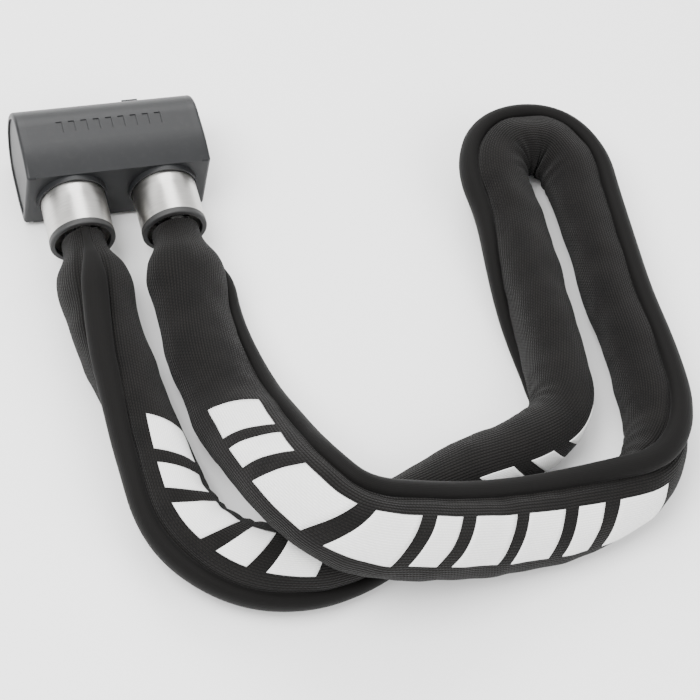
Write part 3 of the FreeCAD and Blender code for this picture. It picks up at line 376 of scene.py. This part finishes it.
RUBBER = Finish("ring_rubber", (0.010, 0.010, 0.010), (0.018, 0.018, 0.018), rough=(0.50, 0.65),
                bump=0.2, bump_depth=0.00005, grain_scale=1800.0)
# Weave finishes: the low colour is painted shade in the valleys between stitches, the high colour the stitch
# tops.
KNIT = Finish("sleeve_knit", (0.0012, 0.0011, 0.0010), (0.0085, 0.0076, 0.0070), rough=(0.80, 0.95),
              bump=1.0, bump_depth=0.0004, sheen=0.04, specular=0.16, surface=Surface.WEAVE)
TAPE = Finish("sleeve_tape", (0.0018, 0.0016, 0.0015), (0.0042, 0.0038, 0.0035), rough=(0.70, 0.85),
              specular=0.12, bump=0.35, bump_depth=0.00012, sheen=0.03, rib_pitch=0.0007, row_pitch=0.0007,
              surface=Surface.WEAVE)
THREAD = Finish("stitch_thread", (0.004, 0.004, 0.004), (0.012, 0.011, 0.011), rough=(0.6, 0.8), specular=0.25,
                bump=0.2)
# The print's low colour is painted shade in the valleys between stitches.
PRINT = Finish("white_print", (0.74, 0.74, 0.73), (0.86, 0.86, 0.85), rough=(0.65, 0.80), specular=0.25,
               bump=0.55, bump_depth=0.00025, surface=Surface.WEAVE)


# ---------------------------------------------------------------- the sleeve's line
class SleeveLine:
    """The smooth line that the sleeve follows, with the piping's place along it."""

    def __init__(self, route: list[tuple[float, ...]], step: float) -> None:
        """Lay the line and measure it.

        Args:
            route: control points, piping angles and half sizes.
            step: distance between the rings, in metres.
        """
        points = [(row[0], row[1] + FACE_Y, row[2]) for row in route]
        fine = self._spline(points)
        runs = np.linalg.norm(np.diff(fine, axis=0), axis=1)
        along = np.concatenate(([0.0], np.cumsum(runs)))
        self.length = float(along[-1])
        count = int(round(self.length / step)) + 1
        self.along = np.linspace(0.0, self.length, count)
        self.centre = np.stack([np.interp(self.along, along, fine[:, k]) for k in range(3)], axis=1)
        share = np.interp(self.along, along, np.linspace(0.0, len(route) - 2.0, len(fine)))
        greville = np.concatenate(([0.0], np.arange(len(route) - 2) + 0.5, [len(route) - 2.0]))
        angles = np.interp(share, greville, [math.radians(row[3]) for row in route])
        self.angle = self._smooth(angles, 12)
        self.half_width = self._smooth(np.interp(share, greville, [row[4] for row in route]), 4)
        self.half_depth = self._smooth(np.interp(share, greville, [row[5] for row in route]), 4)
        tangent = np.gradient(self._smooth_rows(self.centre, 2), axis=0)
        self.tangent = tangent / np.linalg.norm(tangent, axis=1)[:, None]
        up = np.array([0.0, 0.0, 1.0])
        side = np.cross(self.tangent, up)
        side /= np.linalg.norm(side, axis=1)[:, None]
        rise = np.cross(side, self.tangent)
        self.seam = -side * np.cos(self.angle)[:, None] + rise * np.sin(self.angle)[:, None]
        self.face = np.cross(self.tangent, self.seam)
        bend = np.gradient(self.tangent, axis=0) / step
        self.bend = self._smooth_rows(bend, 5)

    @staticmethod
    def _spline(points: list[tuple[float, float, float]]) -> np.ndarray:
        """Points along the NURBS line of the control points.

        Args:
            points: control points in the row frame.

        Returns:
            Points close together along the line.
        """
        curve = bpy.data.curves.new("sleeve_line", "CURVE")
        curve.dimensions = "3D"
        curve.resolution_u = 24
        spline = curve.splines.new("NURBS")
        spline.points.add(len(points) - 1)
        for point, place in zip(spline.points, points):
            point.co = (*place, 1.0)
        spline.order_u = 3
        spline.use_endpoint_u = True
        line = bpy.data.objects.new("sleeve_line", curve)
        bpy.context.scene.collection.objects.link(line)
        graph = bpy.context.evaluated_depsgraph_get()
        mesh = bpy.data.meshes.new_from_object(line.evaluated_get(graph))
        fine = np.array([vertex.co for vertex in mesh.vertices], float)
        bpy.data.objects.remove(line)
        bpy.data.meshes.remove(mesh)
        bpy.data.curves.remove(curve)
        return fine

    @staticmethod
    def _smooth(values: np.ndarray, reach: int) -> np.ndarray:
        """A running mean that keeps the ends."""
        padded = np.pad(values, reach, mode="edge")
        return np.convolve(padded, np.ones(2 * reach + 1) / (2 * reach + 1), mode="valid")

    def _smooth_rows(self, rows: np.ndarray, reach: int) -> np.ndarray:
        """A running mean of each column."""
        return np.stack([self._smooth(rows[:, k], reach) for k in range(3)], axis=1)


def mesh_object(name: str, vertices: np.ndarray, faces: list, finish: bpy.types.Material,
                weave: np.ndarray | None = None) -> bpy.types.Object:
    """A smooth-shaded mesh object with an optional weave map.

    Args:
        name: the object's name.
        vertices: points in the row frame.
        faces: vertex indices of each face.
        finish: its material.
        weave: one UV pair for each face corner.

    Returns:
        The object, linked to the scene.
    """
    mesh = bpy.data.meshes.new(name)
    mesh.from_pydata([tuple(row) for row in vertices], [], faces)
    if weave is not None:
        layer = mesh.uv_layers.new(name="Weave")
        layer.data.foreach_set("uv", np.asarray(weave, np.float32).ravel())
    mesh.materials.append(finish)
    mesh.polygons.foreach_set("use_smooth", [True] * len(mesh.polygons))
    mesh.update()
    made = bpy.data.objects.new(name, mesh)
    bpy.context.scene.collection.objects.link(made)
    return made


@dataclass(frozen=True)
class PrintRun:
    """A run of slanted print bars, measured along the sleeve in metres and round it in degrees."""

    start: float
    gap: float
    count: int
    low: float
    high: float
    slant: float
    wide: tuple[float, ...]


PRINTS = (
    PrintRun(start=0.104, gap=0.0068, count=9, low=50.0, high=132.0, slant=-0.010,
             wide=(0.019, 0.012, 0.022)),
    PrintRun(start=0.660, gap=0.0080, count=3, low=58.0, high=118.0, slant=0.010, wide=(0.017, 0.011)),
    PrintRun(start=0.800, gap=0.0065, count=5, low=55.0, high=128.0, slant=-0.009, wide=(0.016, 0.011)),
)


# The stitches: length as a share of the pitch, thickness and wander in metres, and the seed.
STITCH_SHARE = 0.62
STITCH_THICKNESS = 0.0007
STITCH_WANDER = 0.00012
STITCH_SEED = 11


def stitched(name: str, mesh: bpy.types.Mesh, pitch: float, finish: bpy.types.Material) -> bpy.types.Object:
    """Short capsules of thread laid end to end along the edges of a mesh, by Geometry Nodes.

    Args:
        name: the new object's name.
        mesh: chains of edges that the stitches follow.
        pitch: distance from stitch to stitch.
        finish: material of the thread.

    Returns:
        The stitches, as one mesh.
    """
    group = bpy.data.node_groups.new("stitches", "GeometryNodeTree")
    group.interface.new_socket("Geometry", in_out="INPUT", socket_type="NodeSocketGeometry")
    sockets = {label: group.interface.new_socket(label, in_out="INPUT", socket_type="NodeSocketFloat").identifier
               for label in ("Pitch", "Length", "Thickness", "Wander")}
    sockets["Seed"] = group.interface.new_socket("Seed", in_out="INPUT", socket_type="NodeSocketInt").identifier
    sockets["Thread"] = group.interface.new_socket(
        "Thread", in_out="INPUT", socket_type="NodeSocketMaterial").identifier
    group.interface.new_socket("Geometry", in_out="OUTPUT", socket_type="NodeSocketGeometry")
    tree = Tree(group)
    inside, outside = tree.add("NodeGroupInput"), tree.add("NodeGroupOutput")
    curve = tree.add("GeometryNodeMeshToCurve")
    tree.join(inside.outputs["Geometry"], curve.inputs["Mesh"])
    spots = tree.add("GeometryNodeCurveToPoints", mode="LENGTH")
    tree.join(curve.outputs[0], spots.inputs["Curve"])
    tree.join(inside.outputs["Pitch"], spots.inputs["Length"])
    wander = tree.add("FunctionNodeRandomValue", data_type="FLOAT_VECTOR")
    wander.inputs[0].default_value = (-1.0, -1.0, -1.0)
    tree.join(inside.outputs["Seed"], wander.inputs["Seed"])
    scaled = tree.add("ShaderNodeVectorMath", operation="SCALE")
    tree.join(wander.outputs[0], scaled.inputs[0])
    tree.join(inside.outputs["Wander"], scaled.inputs["Scale"])
    moved = tree.add("GeometryNodeSetPosition")
    tree.join(spots.outputs["Points"], moved.inputs["Geometry"])
    tree.join(scaled.outputs[0], moved.inputs["Offset"])
    ball = tree.add("GeometryNodeMeshIcoSphere")
    ball.inputs["Subdivisions"].default_value = 2
    ball.inputs["Radius"].default_value = 0.5
    size = tree.add("ShaderNodeCombineXYZ")
    tree.join(inside.outputs["Thickness"], size.inputs[0])
    tree.join(inside.outputs["Thickness"], size.inputs[1])
    tree.join(inside.outputs["Length"], size.inputs[2])
    copies = tree.add("GeometryNodeInstanceOnPoints")
    tree.join(moved.outputs[0], copies.inputs["Points"])
    tree.join(ball.outputs[0], copies.inputs["Instance"])
    turn = tree.add("FunctionNodeAlignRotationToVector", axis="Z")
    tree.join(spots.outputs["Tangent"], turn.inputs["Vector"])
    tree.join(turn.outputs[0], copies.inputs["Rotation"])
    tree.join(size.outputs[0], copies.inputs["Scale"])
    real = tree.add("GeometryNodeRealizeInstances")
    tree.join(copies.outputs[0], real.inputs[0])
    painted = tree.add("GeometryNodeSetMaterial")
    tree.join(real.outputs[0], painted.inputs["Geometry"])
    tree.join(inside.outputs["Thread"], painted.inputs["Material"])
    tree.join(painted.outputs[0], outside.inputs[0])
    base = bpy.data.objects.new(name, mesh)
    bpy.context.scene.collection.objects.link(base)
    modifier = base.modifiers.new("stitches", "NODES")
    modifier.node_group = group
    for label, value in (("Pitch", pitch), ("Length", pitch * STITCH_SHARE), ("Thickness", STITCH_THICKNESS),
                         ("Wander", STITCH_WANDER), ("Seed", STITCH_SEED), ("Thread", finish)):
        modifier[sockets[label]] = value
    graph = bpy.context.evaluated_depsgraph_get()
    final = bpy.data.meshes.new_from_object(base.evaluated_get(graph))
    base.modifiers.clear()
    base.data = final
    bpy.data.meshes.remove(mesh)
    final.name = name
    final.polygons.foreach_set("use_smooth", [True] * len(final.polygons))
    return base


# ---------------------------------------------------------------- the sleeve
@dataclass
class Sleeve:
    """The knitted sleeve: a flattened tube with a roll of piping sewn along one edge.

    Sizes are in metres.
    """

    line: SleeveLine
    neck_width: float = 0.0112
    neck_depth: float = 0.0094
    neck_length: float = 0.015
    bulge: float = 0.09
    groove_depth: float = 0.0012
    groove_place: float = 0.36
    groove_reach: float = 0.08
    crease_depth: float = 0.0019
    crease_pitch: float = 0.0085
    ripple: float = 0.0012
    floor: float = 0.0003
    around: int = 60
    split: float = 0.190
    roll_tall: float = 0.0040
    roll_wide: float = 0.0056
    roll_out: float = 0.0010
    stitch_pitch: float = 0.0034
    stitch_floor: float = 0.0008
    print_lift: float = 0.00022
    print_root: float = 0.0004
    print_step: float = 3.0
    print_across: int = 30
    print_along: int = 9
    roll_around: int = 18
    knit_girth: float = 2 * math.pi * 0.0145
    roll_girth: float = 0.025

    def section(self, theta: np.ndarray) -> np.ndarray:
        """Distances from the line to the fabric, before creases, for each ring and angle.

        Args:
            theta: angles from the piping, in radians.

        Returns:
            One row for each ring.
        """
        line = self.line
        inward = np.minimum(line.along, line.length - line.along)
        grown = np.clip((inward - 0.002) / self.neck_length, 0.0, 1.0)
        swell = grown * grown * (3.0 - 2.0 * grown)
        full = 1.0 + self.bulge * np.exp(-((inward - 0.022) / 0.012) ** 2)
        upright = np.abs(np.sin(line.angle))
        neck_a = self.neck_depth + (self.neck_width - self.neck_depth) * upright
        neck_b = self.neck_width - (self.neck_width - self.neck_depth) * upright
        wide = neck_a + (line.half_width * full - neck_a) * swell
        deep = neck_b + (line.half_depth * full - neck_b) * swell
        ring = 1.0 / np.sqrt((np.cos(theta)[None] / wide[:, None]) ** 2
                             + (np.sin(theta)[None] / deep[:, None]) ** 2)
        turned = np.abs((theta + math.pi) % (2 * math.pi) - math.pi)
        groove = np.exp(-((turned - self.groove_place) / self.groove_reach) ** 2)
        return ring - groove[None] * self.groove_depth * swell[:, None]

    def surface(self, theta: np.ndarray, lift: float = 0.0) -> np.ndarray:
        """Points of the fabric for every ring and angle.

        Args:
            theta: angles from the piping, in radians.
            lift: distance outside the fabric.

        Returns:
            Array of rings, angles and coordinates.
        """
        line = self.line
        out = (line.seam[:, None] * np.cos(theta)[None, :, None]
               + line.face[:, None] * np.sin(theta)[None, :, None])
        radius = self.section(theta) + lift
        strength = np.linalg.norm(line.bend, axis=1)
        toward = line.bend / np.maximum(strength, 1e-6)[:, None]
        inner = np.clip(np.einsum("rak,rk->ra", out, toward), 0.0, 1.0)
        sharp = np.clip((strength - 8.0) / 34.0, 0.0, 1.0)
        phase = line.along[:, None] / self.crease_pitch * 2 * math.pi + 1.7 * np.sin(2.0 * theta)[None]
        wave = 0.5 + 0.5 * np.sin(phase + 0.9 * np.sin(line.along * 310.0)[:, None])
        radius = radius - self.crease_depth * sharp[:, None] * inner ** 1.5 * wave
        points = line.centre[:, None] + out * radius[:, :, None]
        inward = np.minimum(line.along, line.length - line.along)
        loose = np.clip((inward - 0.008) / 0.02, 0.0, 1.0)
        for ring in range(points.shape[0]):
            for place in range(points.shape[1]):
                spot = Vector(points[ring, place])
                rough = noise.noise(spot * 42.0) + 0.5 * noise.noise(spot * 95.0)
                points[ring, place] += out[ring, place] * rough * self.ripple * loose[ring]
        points[:, :, 2] = np.maximum(points[:, :, 2], self.floor + lift)
        return points

    def _tube(self, name: str, points: np.ndarray, girth: float, start: int,
              finish: bpy.types.Material) -> bpy.types.Object:
        """A tube through rings of points, with a weave map in metres.

        Args:
            name: the object's name.
            points: rings of points.
            girth: length round the tube, for the weave map.
            start: number of the first ring along the line.
            finish: its material.

        Returns:
            The tube.
        """
        rings, around = points.shape[:2]
        faces = []
        weave = []
        for ring in range(rings - 1):
            low = self.line.along[start + ring]
            high = self.line.along[start + ring + 1]
            for place in range(around):
                after = (place + 1) % around
                faces.append((ring * around + place, ring * around + after,
                              (ring + 1) * around + after, (ring + 1) * around + place))
                left, right = girth * place / around, girth * (place + 1) / around
                weave.extend(((left, low), (right, low), (right, high), (left, high)))
        flat = points.reshape(-1, 3)
        for ring in (0, rings - 1):
            hub = len(flat)
            flat = np.vstack([flat, points[ring].mean(axis=0)])
            level = self.line.along[start + ring]
            for place in range(around):
                after = (place + 1) % around
                pair = (after, place) if ring == 0 else (place, after)
                faces.append((ring * around + pair[0], ring * around + pair[1], hub))
                left, right = girth * place / around, girth * (place + 1) / around
                weave.extend(((left, level), (right, level), (0.0, level)))
        tube = mesh_object(name, flat, faces, finish, np.array(weave))
        last = (rings - 1) * around
        for edge in tube.data.edges:
            if max(edge.vertices) < around or last <= min(edge.vertices) and max(edge.vertices) < last + around:
                edge.use_edge_sharp = True
        return tube

    def row_of(self, share: float) -> int:
        """Number of the ring at a distance along the line, in metres."""
        return int(np.clip(np.searchsorted(self.line.along, share), 0, len(self.line.along) - 1))

    def prints(self, finish: bpy.types.Material) -> bpy.types.Object:
        """The pale print: slanted bars that lie on the fabric's upper face.

        Args:
            finish: material of the print.

        Returns:
            All the bars, as one mesh.
        """
        fine = np.radians(np.arange(-180.0, 180.0, self.print_step))
        outside = self.surface(fine, lift=self.print_lift)
        inside = self.surface(fine, lift=-self.print_root)
        vertices: list[np.ndarray] = []
        faces: list[tuple[int, ...]] = []
        weave: list[tuple[float, float]] = []
        for run in PRINTS:
            for bar in range(run.count):
                self._bar(run, bar, outside, inside, vertices, faces, weave)
        return mesh_object("sleeve_print", np.array(vertices), faces, finish, np.array(weave))

    def _bar(self, run: "PrintRun", bar: int, outside: np.ndarray, inside: np.ndarray,
             vertices: list, faces: list, weave: list) -> None:
        """Add one slanted bar as a thin closed patch.

        Args:
            run: the run of bars that it belongs to.
            bar: its number.
            outside: points just outside the fabric.
            inside: points just inside the fabric.
            vertices: points so far.
            faces: faces so far.
            weave: weave map so far.
        """
        across, along = self.print_across, self.print_along
        width = run.wide[bar % len(run.wide)]
        start = run.start + sum(run.wide[k % len(run.wide)] + run.gap for k in range(bar))
        base = len(vertices)
        for level in (outside, inside):
            for column in range(across + 1):
                share = column / across
                theta = run.low + (run.high - run.low) * share
                place = (theta + 180.0) / self.print_step
                left = int(place) % level.shape[1]
                right = (left + 1) % level.shape[1]
                part = place - int(place)
                for row in range(along + 1):
                    reach = start + run.slant * (share - 0.5) + width * row / along
                    ring = reach / (self.line.along[1] - self.line.along[0])
                    low, rest = int(ring), ring - int(ring)
                    near = level[low, left] * (1 - part) + level[low, right] * part
                    far = level[low + 1, left] * (1 - part) + level[low + 1, right] * part
                    vertices.append(near * (1 - rest) + far * rest)
        count = (across + 1) * (along + 1)
        spot = [(column * 0.0008, row * 0.0014) for column in range(across + 1) for row in range(along + 1)]
        for column in range(across):
            for row in range(along):
                a = column * (along + 1) + row
                quad = (a, a + along + 1, a + along + 2, a + 1)
                faces.append(tuple(base + k for k in quad))
                weave.extend(spot[k] for k in quad)
                back = tuple(reversed(quad))
                faces.append(tuple(base + count + k for k in back))
                weave.extend(spot[k] for k in back)
        rim = ([row for row in range(along)] + [column * (along + 1) + along for column in range(across)]
               + [across * (along + 1) + along - row for row in range(along)]
               + [(across - column) * (along + 1) for column in range(across)])
        for number, here in enumerate(rim):
            after = rim[(number + 1) % len(rim)]
            quad = (here, after, after + count, here + count)
            faces.append(tuple(base + k for k in quad))
            weave.extend(spot[k % count] for k in quad)

    def stitches(self, finish: bpy.types.Material) -> list[bpy.types.Object]:
        """The stitching beside the piping, as one mesh for each run of the sleeve.

        Args:
            finish: material of the thread.

        Returns:
            The free run's stitches and the main run's.
        """
        line = self.line
        sides = self.surface(np.array([self.groove_place, -self.groove_place]), lift=-0.0001)
        cut = self.row_of(self.split)
        first, last = self.row_of(0.012), self.row_of(line.length - 0.012)
        made = []
        for name, low, high in (("free", first, cut), ("main", cut, last)):
            vertices: list[np.ndarray] = []
            edges: list[tuple[int, int]] = []
            for side in range(2):
                base = len(vertices)
                vertices.extend(np.maximum(sides[low:high, side], (-9.0, -9.0, self.stitch_floor)))
                edges.extend((base + k, base + k + 1) for k in range(high - low - 1))
            mesh = bpy.data.meshes.new("sleeve_stitches_" + name)
            mesh.from_pydata([tuple(row) for row in vertices], edges, [])
            made.append(stitched("sleeve_stitches_" + name, mesh, self.stitch_pitch, finish))
        return made

    def piping(self) -> np.ndarray:
        """Rings of the piping: a roll that stands out from the sleeve's edge and thins out at the necks.

        Returns:
            Array of rings, angles and coordinates.
        """
        line = self.line
        angles = np.linspace(0.0, 2 * math.pi, self.roll_around, endpoint=False)
        edge = self.section(np.array([0.0]))[:, 0]
        inward = np.minimum(line.along, line.length - line.along)
        grown = np.clip((inward - 0.002) / 0.030, 0.0, 1.0)
        swell = 0.25 + 0.75 * grown * grown * (3.0 - 2.0 * grown)
        tall, wide = self.roll_tall * swell, self.roll_wide * swell
        middle = line.centre + line.seam * (edge + self.roll_out * swell)[:, None]
        points = (middle[:, None]
                  + line.seam[:, None] * (np.cos(angles)[None] * tall[:, None])[:, :, None]
                  + line.face[:, None] * (np.sin(angles)[None] * wide[:, None])[:, :, None])
        points[:, :, 2] = np.maximum(points[:, :, 2], self.floor)
        return points

    def build(self, knit: bpy.types.Material, tape: bpy.types.Material) -> dict[str, bpy.types.Object]:
        """Make the knit tube and the piping, each in a free run and a main run.

        Args:
            knit: material of the sleeve.
            tape: material of the piping.

        Returns:
            The four objects by name.
        """
        theta = np.linspace(0.0, 2 * math.pi, self.around, endpoint=False)
        fabric = self.surface(theta)
        roll = self.piping()
        cut = self.row_of(self.split)
        made = {}
        for name, points, round_length, finish in (("knit", fabric, self.knit_girth, knit),
                                                 ("piping", roll, self.roll_girth, tape)):
            for run, rings, start in (("free", points[:cut + 1], 0), ("main", points[cut:], cut)):
                made[name + "_" + run] = self._tube("sleeve_%s_%s" % (name, run), rings, round_length, start,
                                                    finish)
        return made


# ---------------------------------------------------------------- the lock body's pieces
@dataclass
class LockBody:
    """The CAD pieces of the lock and the finish that each one takes."""

    dressed: dict[str, list[str]] = field(default_factory=lambda: {
        "body_plastic": ["body_cover", "bore_bezel_fixed", "bore_bezel_free"],
        "cap_plastic": ["end_cap_left", "end_cap_right", "dust_cover"],
        "ferrule_steel": ["ferrule_fixed", "ferrule_free"],
        "ring_rubber": ["mouth_ring_fixed", "mouth_ring_free"],
        "cylinder_brass": ["cylinder_core", "cylinder_housing", "detainer_discs", "disc_spacers"],
    })

    def dress(self, materials: dict[str, bpy.types.Material]) -> None:
        """Give every CAD node its finish.

        Args:
            materials: the materials by name.
        """
        chosen = {node: name for name, nodes in self.dressed.items() for node in nodes}
        for node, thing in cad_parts.items():
            name = chosen.get(node, "chain_steel" if node.startswith("chain_link") else "hardened_steel")
            thing.data.materials.clear()
            thing.data.materials.append(materials[name])
            LOG.info("%s: %s", node, name)


# ---------------------------------------------------------------- floor, light and camera
@dataclass
class Studio:
    """Pale floor, soft light and the camera."""

    centre: tuple[float, float, float] = (-0.1684, -0.5582, 0.7410)
    turn: float = -29.3
    height: float = 55.0
    roll: float = 16.8
    lens: float = 108.0
    sensor: float = 36.0

    def camera(self) -> None:
        """Place the camera."""
        turn, height, roll = (math.radians(value) for value in (self.turn, self.height, self.roll))
        back = Vector((math.sin(turn) * math.cos(height), -math.cos(turn) * math.cos(height), math.sin(height)))
        right = Vector((math.cos(turn), math.sin(turn), 0.0))
        up = back.cross(right)
        across = right * math.cos(roll) + up * math.sin(roll)
        upward = up * math.cos(roll) - right * math.sin(roll)
        data = bpy.data.cameras.new("camera")
        data.lens = self.lens
        data.sensor_width = self.sensor
        data.clip_start = 0.01
        made = bpy.data.objects.new("camera", data)
        made.matrix_world = Matrix((
            (across.x, upward.x, back.x, self.centre[0]), (across.y, upward.y, back.y, self.centre[1]),
            (across.z, upward.z, back.z, self.centre[2]), (0.0, 0.0, 0.0, 1.0)))
        bpy.context.scene.collection.objects.link(made)
        bpy.context.scene.camera = made

    def floor(self) -> None:
        """Lay the floor."""
        reach = 6.0
        corners = np.array([(-reach, -reach, 0.0), (reach, -reach, 0.0),
                            (reach, reach, 0.0), (-reach, reach, 0.0)])
        white = bpy.data.materials.new("floor_white")
        white.use_nodes = True
        shader = white.node_tree.nodes["Principled BSDF"]
        shader.inputs["Base Color"].default_value = (0.96, 0.96, 0.96, 1.0)
        shader.inputs["Roughness"].default_value = 0.8
        mesh_object("floor", corners, [(0, 1, 2, 3)], white)

    def lights(self) -> None:
        """Hang the soft lights and set the world's light."""
        for name, place, size, power in (
                ("key", (-0.7, -0.2, 1.3), 0.9, 36.0), ("fill", (0.9, -0.9, 1.0), 1.0, 14.0),
                ("back", (0.1, 1.0, 0.9), 0.8, 16.0)):
            data = bpy.data.lights.new(name, "AREA")
            data.size = size
            data.energy = power
            lamp = bpy.data.objects.new(name, data)
            lamp.location = place
            aim = Vector((0.08, -0.08, 0.0)) - Vector(place)
            lamp.rotation_euler = aim.to_track_quat("-Z", "Y").to_euler()
            bpy.context.scene.collection.objects.link(lamp)
        world = bpy.data.worlds.new("studio")
        world.use_nodes = True
        world.node_tree.nodes["Background"].inputs[0].default_value = (1.0, 1.0, 1.0, 1.0)
        world.node_tree.nodes["Background"].inputs[1].default_value = 1.35
        bpy.context.scene.world = world


# ---------------------------------------------------------------- building
def sleeve_nodes(free: bool) -> list[str]:
    """CAD nodes that a run of the sleeve stands for."""
    spans = sorted(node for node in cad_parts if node.startswith("sleeve"))
    return [node for node in spans if (node == "sleeve_free_end") == free]


def main() -> None:
    """Build and dress every piece, and attach the sleeve's main runs, print and main stitches to the lock."""
    effects = Effects()
    finishes = (PLASTIC, CAP_PLASTIC, FERRULE, STEEL, CHAIN_STEEL, BRASS, RUBBER, KNIT, TAPE, THREAD, PRINT)
    materials = {finish.name: finish.material(effects) for finish in finishes}
    studio = Studio()
    studio.camera()
    studio.floor()
    studio.lights()
    LockBody().dress(materials)
    line = SleeveLine(ROUTE, 0.0016)
    LOG.info("sleeve line: %.4f m, %d rings", line.length, len(line.along))
    sleeve = Sleeve(line)
    pieces = sleeve.build(materials["sleeve_knit"], materials["sleeve_tape"])
    for name, piece in pieces.items():
        if name.endswith("main"):
            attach(piece, "lock")
        else:
            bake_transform(piece)
        LOG.info("%s: %d faces", piece.name, len(piece.data.polygons))
    bars = sleeve.prints(materials["white_print"])
    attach(bars, "lock")
    free_thread, main_thread = sleeve.stitches(materials["stitch_thread"])
    for thread in (free_thread, main_thread):
        LOG.info("%s: %d faces", thread.name, len(thread.data.polygons))
    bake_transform(free_thread)
    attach(main_thread, "lock")
    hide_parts(*sleeve_nodes(False))
    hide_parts(*sleeve_nodes(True))


if __name__ == "__main__":
    logging.basicConfig(level=logging.INFO)
    main()
